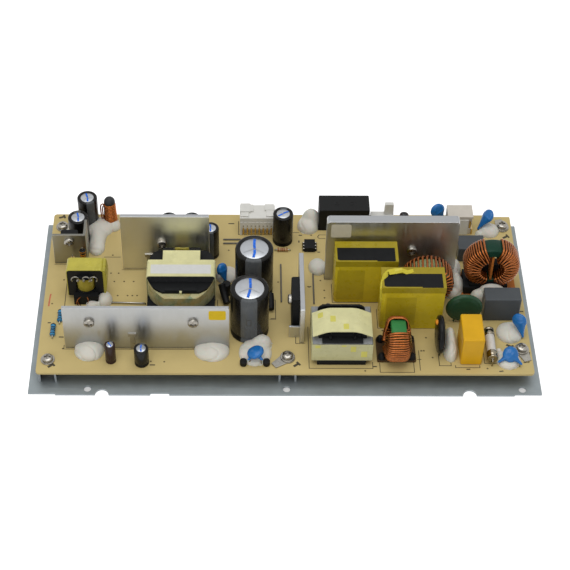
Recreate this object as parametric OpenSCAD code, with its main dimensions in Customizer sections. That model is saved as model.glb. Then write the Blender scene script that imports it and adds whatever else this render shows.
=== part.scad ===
// Open-frame power supply: a circuit board with its parts, screwed to a sheet steel base plate.
// +X runs along the board, +Y to the edge with the connectors, +Z up.
// The origin is the centre of the plate's underside.

/* [Base plate] */
// Width of the sheet steel plate
plate_w = 289; // [284:1:320]
// Depth of the plate
plate_d = 136; // [134:1:160]
// Thickness of the sheet
plate_t = 1; // [0.8:0.1:2]
// Height of the lanced bridges above the sheet
bridge_h = 8; // [5:0.5:12]
// Length of a bridge's flat top
bridge_top = 8; // [7:0.5:9]
// Length of a bridge where it leaves the sheet
bridge_foot = 11.5; // [11:0.5:16]
// Width of a bridge
bridge_w = 9; // [8:0.5:12]
// Diameter of the mounting holes along the front edge
plate_hole_d = 4.2; // [3:0.1:5]
// Distance of the mounting holes from the front edge
plate_hole_inset = 4.3; // [3.8:0.1:6]
// Radius of the round notches in the front edge
edge_notch_r = 3.8; // [2:0.1:5]

/* [Circuit board] */
// Width of the board
board_w = 280; // [278:1:284]
// Depth of the board
board_d = 128; // [127:0.5:132]
// Thickness of the board
board_t = 1.6; // [1:0.1:2.4]
// Distance between the back edges of board and plate
board_back_gap = 0.3; // [0:0.1:2]
// Diameter of the wire jumpers
jumper_d = 1; // [0.6:0.1:1.4]

/* [Fasteners] */
// Diameter of the board and heatsink screws
screw_d = 3; // [2.5:0.1:3.5]
// Diameter of a screw head
screw_head_d = 6; // [5:0.1:7]
// Height of a screw head
screw_head_h = 2.2; // [1.6:0.1:3]
// Outer diameter of the board washers
washer_d = 8; // [7:0.1:9]
// Thickness of the board washers
washer_t = 0.8; // [0.5:0.1:1.2]
// Thickness of the ground lugs
lug_t = 0.8; // [0.5:0.1:1.2]

/* [Heatsinks] */
// Width of the output heatsink
output_hs_w = 51.4; // [48:0.2:54]
// Height of the output heatsink
output_hs_h = 43.2; // [38:0.2:50]
// Thickness of the output heatsink
output_hs_t = 2.4; // [1.5:0.1:3]
// Width of the front heatsink
front_hs_w = 93; // [90:0.5:94]
// Height of the front heatsink
front_hs_h = 33.4; // [30:0.2:40]
// Thickness of the front heatsink
front_hs_t = 2; // [1.5:0.1:3]
// Width of the input heatsink
input_hs_w = 76; // [70:0.5:78]
// Height of the input heatsink
input_hs_h = 46.8; // [40:0.2:54]
// Thickness of the input heatsink
input_hs_t = 5.6; // [3:0.2:6]
// Length of the switch heatsink
switch_hs_l = 45.4; // [40:0.2:50]
// Height of the switch heatsink
switch_hs_h = 27.5; // [26:0.5:34]
// Thickness of the switch heatsink
switch_hs_t = 2.7; // [1.5:0.1:4]
// Width of the regulator heatsink
regulator_hs_w = 19.6; // [18:0.2:21]
// Height of the regulator heatsink
regulator_hs_h = 23.6; // [20:0.2:30]
// Length of the regulator heatsink's folded wing
regulator_hs_wing = 12; // [6:0.2:12.4]
// Thickness of the regulator heatsink's sheet
regulator_hs_t = 1.4; // [1:0.1:2]

/* [Power devices] */
// Width of a device body
device_w = 10; // [9:0.2:12]
// Thickness of a device body
device_t = 4.6; // [4:0.1:5]
// Height of a device body
device_h = 17; // [15:0.5:18]
// Width of the switch transistor
switch_w = 18; // [15:0.5:20]
// Height of the switch transistor
switch_h = 23; // [20:0.5:24]
// Width of the bridge rectifier
rectifier_w = 22; // [20:0.5:26]
// Height of the bridge rectifier
rectifier_h = 18; // [16:0.5:20]

/* [Capacitors] */
// Diameter of the bulk capacitors
bulk_d = 22; // [18:0.5:22.5]
// Height of the bulk capacitors
bulk_h = 35; // [25:0.5:45]
// Wall of the shrink sleeves
sleeve_t = 0.4; // [0.2:0.05:0.6]
// Size of the yellow film capacitor
yellow_film = [12.1, 20.4, 20.5]; // [8:0.1:24]
// Size of the grey film capacitor
grey_film = [20.8, 10.2, 17.4]; // [8:0.1:24]
// Size of the dark film capacitor at the back
dark_film = [16, 12, 10.6]; // [8:0.1:24]
// Thickness of the blue ceramic discs
disc_t = 4; // [3:0.1:5]
// Diameter of the varistor
varistor_d = 21; // [18:0.5:22]
// Thickness of the varistor
varistor_t = 5; // [4:0.1:6]
// Diameter of the thermistor
thermistor_d = 22; // [18:0.5:24]
// Thickness of the thermistor
thermistor_t = 6; // [5:0.1:7]

/* [Wound parts] */
// Wire diameter of the line choke
line_wire_d = 1.3; // [0.8:0.05:1.3]
// Turns of each line choke winding
line_turns = 24; // [8:1:24]
// Wire diameter of the boost toroid
toroid_wire_d = 1.25; // [0.8:0.05:1.25]
// Turns of each of the boost toroid's two strands
toroid_turns = 15; // [8:1:15]
// Wire diameter of the small choke
small_wire_d = 1.1; // [0.8:0.05:1.1]
// Turns of each small choke winding
small_turns = 18; // [8:1:18]
// Wire diameter of the rod choke
rod_wire_d = 1; // [0.6:0.05:1.1]
// Turns of the rod choke
rod_turns = 10; // [6:1:11]
// Wall of the adhesive tape round the wound parts
tape_t = 0.4; // [0.2:0.05:0.6]

/* [Connectors] */
// Pins of the output connector
output_pins_n = 8; // [4:1:8]
// Pin pitch of the output connector
output_pitch = 2.4; // [2:0.1:2.5]
// Size of the output connector's housing
output_size = [21.1, 11.6, 14]; // [8:0.1:24]
// Pins of the mains connector
mains_pins_n = 3; // [2:1:3]
// Pin pitch of the mains connector
mains_pitch = 6.4; // [4:0.1:6.4]
// Size of the mains connector's housing
mains_size = [17.4, 10.6, 14.6]; // [8:0.1:24]

/* [Hidden] */
$fn = 48;

// Levels and clearances shared by the pieces
board_y = plate_d / 2 - board_back_gap - board_d / 2;
board_low = plate_t + bridge_h;
board_top = board_low + board_t;
fit = 0.15;
screw_hole_d = screw_d + 2 * fit;
lead = 0.8;
eps = 0.01;

// Places on the board, in mm from its centre. They are drawn for a board of this width and spread
// with it, and the plate keeps its margin round a wider or narrower board.
layout_w = 280;
plate_span = plate_w + board_w - layout_w;
function place(at) = [at[0] * board_w / layout_w, at[1]];
function placed(list) = [for (p = list) concat(place(p), [for (i = [2:1:len(p) - 1]) p[i]])];
left = -board_w / 2;
right = board_w / 2;
front = -board_d / 2;
back = board_d / 2;
board_corner = 2;
board_step = [11, 1.4];
// Screws: distances from the nearest edges, front row and then back row
screw_in = [[6.2, 9.5], [0, 11.4], [5.6, 17.7], [6.1, 11.5], [5.9, 10.9]];
screw_mid_x = 1.5;
screw_spots = [[left + screw_in[0][0], front + screw_in[0][1]], [screw_mid_x, front + screw_in[1][1]],
    [right - screw_in[2][0], front + screw_in[2][1]], [left + screw_in[3][0], back - screw_in[3][1]],
    [right - screw_in[4][0], back - screw_in[4][1]]];
screw_end = 1;
lug_rim = 0.6;
// Each lug: which screw it sits under, the way its tongue points and how long it is
lugs = [[1, 218, 10], [2, -72, 9], [4, 105, 6.5]];
jumper_spots = placed([[-35.4, 41.8, 9.8, 0], [-35.4, 38.5, 9.8, 0], [-1.3, -9.4, 30, 90],
    [17.7, -10.9, 23.5, 90]]);
// Front edge of the plate: distances of holes and notches from its left and right ends
plate_hole_ends = [33.3, 10.7];
plate_hole_mid = 1;
edge_notch_ends = [41.6, 40.6];
shallow_notch = [74.2, 10.6, 1.2];
end_step = [15.4, 0.8];

// Heatsinks: middle of the footprint, then how far along and up each screw sits
output_hs_at = place([-69.2, 18.2]);
output_hs_screw = [-2.1, 22.1];
front_hs_at = place([-77.9, -44.7]);
front_hs_screws = [[-31.7, 22.3], [26.4, 22.3]];
input_hs_at = place([62.4, 12.2]);
input_hs_screw = [11.9, 24.2];
switch_hs_at = place([9.8, -18.5]);
switch_hs_screw = [-4.5, 17];
regulator_hs_at = place([-126.2, 22.3]);
regulator_hs_screw = [0, 18.6];
hs_corner = 0.6;
input_hs_corner = 2;
switch_foot = [6, 1.4, 9];
switch_foot_in = 4.9;
// Solder tags on the fronts of two heatsinks: where along, bar, stem width and height of the bar
output_tag_x = -13.8;
front_tag_x = -10.1;
tag_bar = [4.8, 0.8, 2.4];
tag_stem = 2.8;
tag_z = 10.8;

// Electrolytic capacitors: place, diameter, height and width of the sleeve's lip on the top
electrolytics = placed([[-20, -31, bulk_d, bulk_h, 2.7], [-17.3, 0.3, bulk_d, bulk_h, 2.7],
    [-118, 57.2, 12, 20.8, 1.8], [-122.4, 41, 12, 20, 1.8], [-67.4, 31, 10, 27.5, 1.5],
    [-54, 31, 10, 27.5, 1.5], [-43.1, 29.8, 10, 20, 1.5], [0.1, 41.8, 12, 22.6, 1.8],
    [-98.1, -54.7, 6, 13.7, 1], [-80.6, -56.2, 8.2, 12.3, 1.2], [74.1, 55, 5.5, 9, 1]]);

// Ceramic discs: place, diameter, height of the middle, turn about Z and lean
discs = placed([[133.8, -33.2, 9.6, 10.5, -34, 14], [127, -54, 9.6, 8, 7, 30], [-16.8, -54.6, 9.8, 7, 9, 52],
    [-36.6, 8.2, 8.6, 10, 60, 9], [94.6, 58.4, 9.4, 9.4, 21, 12], [126.8, 53.6, 9.6, 10.2, -67, 38]]);

// Resistors: middle, length and diameter of the body, turn about Z
resistor_spots = placed([[0, 32.6, 6.4, 2.4, 0], [-132.6, -33, 8, 3.2, 90], [-129.3, -22, 8, 3.2, 90]]);
// Axial parts that stand on end: place, length and diameter of the body, height of its lower end
upright_spots = placed([[-118.2, 16.8, 9, 3.8, 7.4], [-124.2, 15.6, 6, 2.8, 5.6]]);

// Beads of silicone: place, radius on the board, height
beads = placed([[-112.4, 35.5, 5.2, 4.6], [-112.4, 42.5, 5.4, 5], [-112, 50, 6, 5.4], [-111.2, 56, 5.6, 5],
    [-104.4, 52.6, 5.8, 5], [-128.6, 48.2, 2.6, 3], [-104.6, -8.6, 5.2, 5.2], [-111.2, -12, 4, 3.4],
    [-110.8, -47.4, 8.6, 6], [-41.2, -47.6, 9.4, 5.4], [-34, 12.4, 5.8, 3.4], [-16.6, -49.6, 9.6, 5],
    [-12.4, -44.6, 5, 6.2], [15.6, 53, 6.2, 6.4], [18, 57.4, 5, 8], [21.6, 19.6, 4.6, 5],
    [100.9, 7, 3.6, 7], [100.9, 1.6, 3.8, 7.4], [98.4, -4.4, 3.8, 4], [113, -8.6, 4.4, 6.5],
    [120.4, -8.4, 4.6, 7.5], [127.4, -8.6, 4.4, 6.5], [124.6, 49.6, 5.2, 4.2], [120.6, 49, 2.8, 2.6],
    [94.9, -41.6, 3.6, 8], [94.9, -46, 3.6, 8.4], [94.9, -50.4, 3.6, 8], [129, -33.6, 7.6, 4.6],
    [126.2, -54.6, 6.6, 4.4], [122.2, -48.8, 2.4, 3.6]]);

// Main transformer
main_at = place([-59.4, -5.5]);
main_core = [39, 12.8, 20.8];
main_core_low = 3.2;
main_yoke = 4.6;
main_leg = 5;
main_post_d = 12.4;
main_flange_t = 1.4;
main_flange_front = [10.4, 14.4];
main_wrap_front = [9, 18];
main_rail = [38, 6];
main_rail_reach = 20;
main_lead_out = [21.6, 7.6];
main_post = [6, 2.2, 4.6];
main_tube = 1.2;
main_wrap_in = 0.4;
core_corner = 1.6;
strap_over = 0.2;

// Standby transformer
standby_at = place([-114.9, -2]);
standby_core = [20.6, 10, 20.6];
standby_core_low = 2.8;
standby_yoke = 4;
standby_leg = 4.8;
standby_post_d = 5.4;
standby_flange_t = 1.2;
standby_reach = 7.2;
standby_rail = [14, 3.6];
standby_tube = 1;
standby_lip = 0.6;

// Tape-wrapped power chokes: places of the two, then core and tape sizes
power_choke_spots = placed([[46.9, -1.2], [72.4, -21.8]]);
power_core = [34.4, 9.6, 33];
power_core_low = 0.8;
power_tape = [36, 16.2, 32.4];
power_core_shift = -1.9;
power_core_corner = 0.6;
power_tape_corner = 2.2;

// Filter transformer: winding axis along Y
filter_at = place([31.8, -43]);
filter_core = [33.4, 28.4, 14.2];
filter_core_low = 3.2;
filter_yoke = 4.8;
filter_leg = 5.2;
filter_post = [9, 9];
filter_arch_h = 7.2;
filter_arch_flat = 17;
filter_arch_edge = 3.4;
filter_wrap_l = 17.4;
filter_flange = [22.8, 1.4];
filter_ledge_t = 1.2;
filter_rail = [27.4, 6];
filter_belt_low = 0.6;

// Line choke: ring on edge with its axis along Y, two windings with gaps at top and bottom
line_at = place([120.4, 4.5]);
line_ring = [9.2, 14.5, 5];
line_gap_top = 22;
line_gap_low = 14;
line_base = [30, 15, 2.4];
line_base_corner = 2;
line_horn = [4, 3];
line_horn_in = 3;
pad_size = [32, 20, 0.6];
divider_t = 1.2;

// Boost toroid: ring on edge, axis along Y
toroid_at = place([82.8, -5.6]);
toroid_ring = [7.5, 13, 5.2];
toroid_gap = 8;
// How far the second strand follows the first, outside and inside the ring
toroid_lag = [6, 11.4];

// Small common-mode choke: ring on edge with its axis along X
small_at = place([63, -49.6]);
small_ring = [6.2, 11.2, 4.2];
small_gap = 23;
small_base = [22, 18, 1.5];
small_base_shift = 2.8;

// Rod choke
rod_at = place([-104.6, 56]);
rod_d = 5;
rod_cap_d = 6.8;
rod_h = 21.6;
rod_wind_low = 2.4;
rod_dome_h = 3.2;

// Other parts
yellow_film_at = place([104.7, -47.1]);
dark_film_at = place([112.2, 30]);
varistor_at = place([102.8, -24.2]);
grey_film_at = varistor_at + [22.1, 5.6];
thermistor_at = place([87.3, -45]);
disc_foot = 1;
fuse_at = yellow_film_at + [11.8, 1.1];
fuse_d = 5.2;
fuse_l = 22;
fuse_cap_d = 6;
fuse_cap_l = 5;
fuse_z = 4.6;
sleeve_spots = placed([[-33.4, -3, 5, 9], [-23.4, -57.4, 4, 3.4], [-10.4, -57.4, 4, 3.4]]);
relay_at = place([37.4, 57.2]);
relay_size = [30.5, 13.5, 16.7];
chip_at = place([16.3, 35.2]);
chip_size = [6.4, 7.6, 3.2];
chip_foot = 0.5;
chip_pins = 3;
chip_pitch = 2.54;
output_at = place([-15.2, 52]);
mains_at = place([108.4, 52.4]);
housing_wall = 1.4;
housing_back = 3;
output_pin_z = 7.2;
mains_pin_z = 3.6;
output_recess = 1.8;
mains_slot = [2.4, 11.4];
output_rib = [4.6, 1];
output_rib_in = 0.6;
signal_at = relay_at + [23.9, 2.6];
signal_base = [14, 6.4, 4];
signal_wall = [6, 2.4, 12.4];
signal_wall_taper = 0.4;

module on_board(at, z = 0) translate([at[0], board_y + at[1], board_top + z]) children();

// Box with its middle at the origin in X and Y, standing on z = 0
module block(size) translate([-size[0] / 2, -size[1] / 2, 0]) cube(size);

module round_rect(w, d, r) {
    square([w - 2 * r, d], center = true);
    square([w, d - 2 * r], center = true);
    for (sx = [-1, 1], sy = [-1, 1])
        translate([sx * (w / 2 - r), sy * (d / 2 - r)])
            circle(r);
}

module round_block(size, r) linear_extrude(size[2]) round_rect(size[0], size[1], r);

// Base plate and board
module plate_outline() {
    end = plate_span / 2;
    difference() {
        square([plate_span, plate_d], center = true);
        for (sx = [-1, 1])
            translate([sx * (end - end_step[0] / 2), -(plate_d - end_step[1]) / 2])
                square(end_step + [eps, eps], center = true);
        for (x = [edge_notch_ends[0] - end, end - edge_notch_ends[1]])
            translate([x, -plate_d / 2])
                circle(edge_notch_r);
        translate([shallow_notch[0] - end, -plate_d / 2])
            square([shallow_notch[1], 2 * shallow_notch[2]], center = true);
        for (x = [plate_hole_ends[0] - end, plate_hole_mid, end - plate_hole_ends[1]])
            translate([x, -plate_d / 2 + plate_hole_inset])
                circle(d = plate_hole_d);
    }
}

module bridge_profile(inset) {
    top = board_low - inset;
    foot = bridge_foot / 2 - inset;
    flat = (bridge_top - inset) / 2;
    polygon([[-foot, 0], [-foot, plate_t], [-flat, top], [flat, top], [foot, plate_t], [foot, 0]]);
}

module bridge() difference() {
    rotate([90, 0, 0])
        linear_extrude(bridge_w, center = true)
            difference() {
                bridge_profile(0);
                bridge_profile(plate_t);
            }
    cylinder(d = screw_hole_d, h = board_low + 1);
}

module base_plate() color("slategray") union() {
    linear_extrude(plate_t)
        difference() {
            plate_outline();
            for (s = screw_spots)
                translate([s[0], board_y + s[1]])
                    square([bridge_foot - plate_t, bridge_w], center = true);
        }
    for (s = screw_spots)
        translate([s[0], board_y + s[1], 0])
            bridge();
}

module circuit_board() color("burlywood")
    translate([0, board_y, board_low])
        linear_extrude(board_t)
            difference() {
                round_rect(board_w, board_d, board_corner);
                translate([right - board_step[0], back - board_step[1]])
                    square(board_step + [1, 1]);
                for (s = screw_spots)
                    translate(s)
                        circle(d = screw_hole_d);
            }

// Fasteners
function has_lug(i) = len([for (l = lugs) if (l[0] == i) 1]) > 0;
function washer_z(i) = has_lug(i) ? lug_t : 0;

module cross_recess(d, depth) {
    arm = d * 0.55;
    slot = d * 0.17;
    translate([0, 0, -depth / 2]) {
        cube([arm, slot, depth + 1], center = true);
        cube([slot, arm, depth + 1], center = true);
    }
}

// Pan head screw along -Z, with the underside of its head at z = 0
module pan_screw(shank) {
    crown = screw_head_h * 0.45;
    difference() {
        union() {
            cylinder(d = screw_head_d, h = screw_head_h - crown);
            translate([0, 0, screw_head_h - crown])
                cylinder(d1 = screw_head_d, d2 = screw_head_d * 0.6, h = crown);
            translate([0, 0, -shank])
                cylinder(d = screw_d, h = shank + eps);
        }
        translate([0, 0, screw_head_h])
            cross_recess(screw_head_d, screw_head_h * 0.5);
    }
}

module board_screws() color("silver")
    for (i = [0:len(screw_spots) - 1])
        on_board(screw_spots[i], washer_z(i) + washer_t)
            pan_screw(washer_z(i) + washer_t + board_t + plate_t + screw_end);

module board_washers() color("lightgray")
    for (i = [0:len(screw_spots) - 1])
        on_board(screw_spots[i], washer_z(i))
            difference() {
                cylinder(d = washer_d, h = washer_t);
                translate([0, 0, -1])
                    cylinder(d = screw_hole_d, h = washer_t + 2);
            }

module ground_lugs() color("gainsboro")
    for (l = lugs)
        on_board(screw_spots[l[0]])
            linear_extrude(lug_t)
                difference() {
                    union() {
                        circle(d = washer_d + lug_rim);
                        rotate(l[1])
                            polygon([[0, -washer_d * 0.46], [l[2], -washer_d * 0.26],
                                [l[2], washer_d * 0.26], [0, washer_d * 0.46]]);
                    }
                    circle(d = screw_hole_d);
                }

module wire_jumpers() color("silver")
    for (j = jumper_spots)
        on_board(j, jumper_d / 2)
            rotate([0, 0, j[3]]) {
                rotate([0, 90, 0])
                    cylinder(d = jumper_d, h = j[2]);
                sphere(d = jumper_d);
                translate([j[2], 0, 0])
                    sphere(d = jumper_d);
            }

// Upright outline with round top corners, standing on y = 0
module top_rounded(w, h, r) {
    translate([-w / 2, 0])
        square([w, h - r]);
    translate([r - w / 2, 0])
        square([w - 2 * r, h]);
    for (sx = [-1, 1])
        translate([sx * (w / 2 - r), h - r])
            circle(r);
}

// Wall across Y with round top corners, standing on z = 0
module rounded_wall(size, r)
    rotate([90, 0, 0])
        linear_extrude(size[1], center = true)
            top_rounded(size[0], size[2], r);

// Heatsinks: plates on edge along X, with their screw holes
module hs_plate(size, screws, corner = hs_corner) difference() {
    rounded_wall(size, corner);
    for (s = screws)
        translate([s[0], 0, s[1]])
            rotate([90, 0, 0])
                cylinder(d = screw_hole_d, h = size[1] + 2, center = true);
}

module output_heatsink() color("darkkhaki")
    on_board(output_hs_at) {
        hs_plate([output_hs_w, output_hs_t, output_hs_h], [output_hs_screw]);
        solder_tag(output_tag_x, output_hs_t);
    }

module front_heatsink() color("lightgray")
    on_board(front_hs_at) {
        hs_plate([front_hs_w, front_hs_t, front_hs_h], front_hs_screws);
        solder_tag(front_tag_x, front_hs_t);
    }

module input_heatsink() color("darkgoldenrod")
    on_board(input_hs_at)
        hs_plate([input_hs_w, input_hs_t, input_hs_h], [input_hs_screw], input_hs_corner);

// Tag on the front face of a heatsink of thickness t: a bar on a stem that stands on the board
module solder_tag(x, t)
    translate([x, -(t + tag_bar[1]) / 2 + eps, 0]) {
        block([tag_stem, tag_bar[1], tag_z + eps]);
        translate([0, 0, tag_z])
            block(tag_bar);
    }

module switch_heatsink() color("silver")
    on_board(switch_hs_at) {
        rotate([0, 0, 90])
            hs_plate([switch_hs_l, switch_hs_t, switch_hs_h], [switch_hs_screw]);
        translate([-(switch_hs_t + switch_foot[0]) / 2 + eps, switch_foot_in - switch_hs_l / 2, 0])
            block(switch_foot);
    }

module regulator_heatsink() color("darkgray")
    on_board(regulator_hs_at) {
        hs_plate([regulator_hs_w, regulator_hs_t, regulator_hs_h], [regulator_hs_screw]);
        translate([(regulator_hs_w - regulator_hs_t) / 2, regulator_hs_wing / 2, 0])
            block([regulator_hs_t, regulator_hs_wing + regulator_hs_t, regulator_hs_h]);
    }

// Screws that hold devices to heatsinks: heatsink place and thickness, then screw places
clamped = [[output_hs_at, output_hs_t, [output_hs_screw]], [front_hs_at, front_hs_t, front_hs_screws],
    [input_hs_at, input_hs_t, [input_hs_screw]], [regulator_hs_at, regulator_hs_t, [regulator_hs_screw]]];

module heatsink_screws() color("silver") {
    for (c = clamped, s = c[2])
        on_board(c[0] + [s[0], -c[1] / 2], s[1])
            rotate([90, 0, 0])
                pan_screw(c[1] + device_t + screw_end);
    on_board(switch_hs_at + [-switch_hs_t / 2 - device_t, switch_hs_screw[0]], switch_hs_screw[1])
        rotate([0, -90, 0])
            pan_screw(switch_hs_t + device_t + screw_end);
}

// Moulded device body, back face on y = 0, with its screw hole at z = 0
module device_body(w, h, hole_up) difference() {
    chamfer = 0.8;
    translate([0, 0, -hole_up])
        linear_extrude(h)
            polygon([[-w / 2, 0], [w / 2, 0], [w / 2, device_t - chamfer], [w / 2 - chamfer, device_t],
                [-w / 2 + chamfer, device_t], [-w / 2, device_t - chamfer]]);
    rotate([90, 0, 0])
        cylinder(d = screw_hole_d, h = 3 * device_t, center = true);
}

device_hole_in = 3.8;
device_hole_up = device_h - device_hole_in;
device_spots = [for (c = clamped, s = c[2]) if (c[0] != input_hs_at) [c[0] + [s[0], c[1] / 2], s[1]]];

module power_devices() color("black")
    for (d = device_spots)
        on_board(d[0], d[1])
            device_body(device_w, device_h, device_hole_up);

module switch_transistor() color("black")
    on_board(switch_hs_at + [-switch_hs_t / 2, switch_hs_screw[0]], switch_hs_screw[1])
        rotate([0, 0, 90])
            device_body(switch_w, switch_h, switch_h * 0.6);

module bridge_rectifier() color("black")
    on_board(input_hs_at + [input_hs_screw[0], input_hs_t / 2], input_hs_screw[1])
        device_body(rectifier_w, rectifier_h, rectifier_h / 2);

// Flat leads from the board up to a device's underside
module lead_row(n, pitch, h)
    for (i = [0:n - 1])
        translate([(i - (n - 1) / 2) * pitch, device_t / 2, 0])
            block([lead, lead, h]);

module device_leads() color("silver") {
    pitch = 2.54;
    rectifier_pitch = 5.1;
    switch_pitch = 5.4;
    for (d = device_spots)
        on_board(d[0])
            lead_row(3, pitch, d[1] - device_hole_up);
    on_board(switch_hs_at + [-switch_hs_t / 2, switch_hs_screw[0]])
        rotate([0, 0, 90])
            lead_row(3, switch_pitch, switch_hs_screw[1] - switch_h * 0.6);
    on_board(input_hs_at + [input_hs_screw[0], input_hs_t / 2])
        lead_row(4, rectifier_pitch, input_hs_screw[1] - rectifier_h / 2);
}

// Closed ferrite frame in the XZ plane with a round post in the middle, standing on z = 0
module ferrite_frame(size, leg, yoke, post_d) {
    difference() {
        rounded_wall(size, core_corner);
        translate([0, 0, yoke])
            block([size[0] - 2 * leg, size[1] + 2, size[2] - 2 * yoke]);
    }
    translate([0, 0, yoke - eps])
        cylinder(d = post_d, h = size[2] - 2 * yoke + 2 * eps);
}

// Strap of tape over a ferrite frame's top and down both its sides
module tape_strap(size) difference() {
    rounded_wall([size[0] + 2 * tape_t, size[1] + 2 * strap_over, size[2] + tape_t], core_corner + tape_t);
    translate([0, 0, -1])
        rounded_wall([size[0], size[1] + 2, size[2] + 1], core_corner);
}

// Main transformer
main_window = main_core[2] - 2 * main_yoke;
main_post_y = main_core[1] / 2 + main_lead_out[1] + main_post[1] / 2 + 2 * fit + strap_over;
main_floor = main_core_low + main_yoke;
main_ceiling = main_floor + main_window;

// Barrel outline: full width beside the core, with arcs that run in to a narrower front and back
module main_outline(half_w, end) {
    side_y = main_core[1] / 2 + fit;
    arc_y = (half_w * half_w + side_y * side_y - end * end) / (2 * (side_y - end[1]));
    arc_r = norm([half_w, side_y - arc_y]);
    intersection() {
        square([2 * half_w, 2 * end[1]], center = true);
        translate([0, arc_y])
            circle(arc_r);
        translate([0, -arc_y])
            circle(arc_r);
    }
}

module main_core_cut(z, h)
    for (sx = [-1, 1])
        translate([sx * (main_core[0] - main_leg) / 2, 0, z])
            block([main_leg + 2 * fit, main_core[1] + 2 * fit, h]);

module main_transformer_core() color("dimgray")
    on_board(main_at, main_core_low)
        ferrite_frame(main_core, main_leg, main_yoke, main_post_d);

module main_transformer_bobbin() color([0.1, 0.1, 0.1])
    on_board(main_at) {
        rail_y = main_rail_reach - main_rail[1] / 2;
        difference() {
            union() {
                translate([0, 0, main_ceiling - main_flange_t])
                    linear_extrude(main_flange_t)
                        main_outline(main_core[0] / 2, main_flange_front);
                translate([0, 0, main_floor])
                    block([main_core[0], 2 * main_rail_reach, main_flange_t]);
                cylinder(d = main_post_d + 2 * main_tube, h = main_ceiling);
            }
            main_core_cut(0, main_ceiling + 1);
            translate([0, 0, -1])
                cylinder(d = main_post_d + 2 * fit, h = main_ceiling + 2);
            block([main_core[0], main_core[1] + 2 * fit, main_floor]);
            translate([0, 0, -eps])
                block([main_core[0], 2 * main_core[1], main_floor]);
        }
        for (sy = [-1, 1])
            translate([0, sy * rail_y, 0])
                block([main_rail[0], main_rail[1], main_floor + main_flange_t]);
        for (sx = [-1, 1])
            translate([sx * (main_lead_out[0] - main_post[0]) / 2, main_post_y, main_ceiling - main_flange_t])
                block(main_post + [0, 0, main_flange_t]);
    }

module main_transformer_winding() color("palegoldenrod")
    on_board(main_at, main_floor + main_flange_t)
        difference() {
            h = main_window - 2 * main_flange_t;
            linear_extrude(h)
                main_outline(main_core[0] / 2 - main_wrap_in, main_wrap_front);
            translate([0, 0, -1]) {
                main_core_cut(0, h + 2);
                cylinder(d = main_post_d + 2 * main_tube + 2 * fit, h = h + 2);
            }
        }

module main_transformer_tape() color("khaki")
    on_board(main_at, main_core_low) {
        tape_strap(main_core);
        translate([0, (main_core[1] + main_lead_out[1]) / 2 + strap_over - eps, main_ceiling - main_core_low])
            block([main_lead_out[0], main_lead_out[1], main_core[2] + tape_t - main_ceiling + main_core_low]);
    }

// Standby transformer
standby_window = standby_core[2] - 2 * standby_yoke;
standby_floor = standby_core_low + standby_yoke;
standby_inner = standby_core[0] - 2 * standby_leg - 2 * fit;

module standby_transformer_core() color("dimgray")
    on_board(standby_at, standby_core_low)
        ferrite_frame(standby_core, standby_leg, standby_yoke, standby_post_d);

// Oblong outline across the window, with round ends in front of and behind the core
module standby_outline(w, reach) {
    for (sy = [-1, 1])
        translate([0, sy * (reach - w / 2)])
            circle(d = w);
    square([w, 2 * reach - w], center = true);
}

module standby_transformer_bobbin() color([0.1, 0.1, 0.1])
    on_board(standby_at) {
        rail_y = standby_reach + standby_rail[1] / 2 - 1;
        difference() {
            union() {
                for (z = [standby_floor, standby_floor + standby_window - standby_flange_t])
                    translate([0, 0, z])
                        linear_extrude(standby_flange_t)
                            standby_outline(standby_inner, standby_reach + standby_lip);
                translate([0, 0, standby_floor])
                    cylinder(d = standby_post_d + 2 * standby_tube, h = standby_window);
            }
            translate([0, 0, standby_floor - 1])
                cylinder(d = standby_post_d + 2 * fit, h = standby_window + 2);
        }
        for (sy = [-1, 1])
            translate([0, sy * rail_y, 0])
                block([standby_rail[0], standby_rail[1], standby_floor + eps]);
    }

module standby_transformer_winding() color("darkkhaki")
    on_board(standby_at, standby_floor + standby_flange_t)
        difference() {
            h = standby_window - 2 * standby_flange_t;
            linear_extrude(h)
                standby_outline(standby_inner, standby_reach);
            translate([0, 0, -1])
                cylinder(d = standby_post_d + 2 * standby_tube + 2 * fit, h = h + 2);
        }

module standby_transformer_tape() color("yellow")
    on_board(standby_at, standby_core_low)
        tape_strap(standby_core);

// Tape-wrapped power chokes
module power_choke_cores() color([0.12, 0.12, 0.13])
    for (p = power_choke_spots)
        on_board(p + [0, power_core_shift], power_core_low)
            round_block(power_core, power_core_corner);

module power_choke_tapes() color("olive")
    for (p = power_choke_spots)
        on_board(p)
            difference() {
                round_block(power_tape, power_tape_corner);
                translate([0, power_core_shift, power_core_low])
                    round_block(power_core + [2 * fit, 2 * fit, 1], power_core_corner + fit);
            }

// Filter transformer
filter_inner = filter_core[0] - 2 * filter_leg;
filter_window = filter_core[1] - 2 * filter_yoke;
filter_roof = filter_core_low + filter_core[2];

module filter_transformer_core() color("gray")
    on_board(filter_at, filter_core_low) {
        difference() {
            block(filter_core);
            translate([0, 0, -1])
                block([filter_inner, filter_window, filter_core[2] + 2]);
        }
        translate([0, 0, (filter_core[2] - filter_post[1]) / 2])
            block([filter_post[0], filter_window + 1, filter_post[1]]);
    }

// Roof outline in the XZ plane, flat in the middle with shoulders that fall to the edges
module filter_roof_outline(w, shrink = 0) {
    edge = filter_arch_edge - shrink;
    top = filter_arch_h - shrink;
    steps = 6;
    shoulder = (w - filter_arch_flat) / 2;
    function side(s, k) = [s * (filter_arch_flat / 2 + shoulder * sin(90 * k / steps)),
        edge + (top - edge) * cos(90 * k / steps)];
    polygon(concat([[-w / 2, 0]], [for (k = [steps:-1:0]) side(-1, k)], [for (k = [0:steps]) side(1, k)],
        [[w / 2, 0]]));
}

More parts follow.
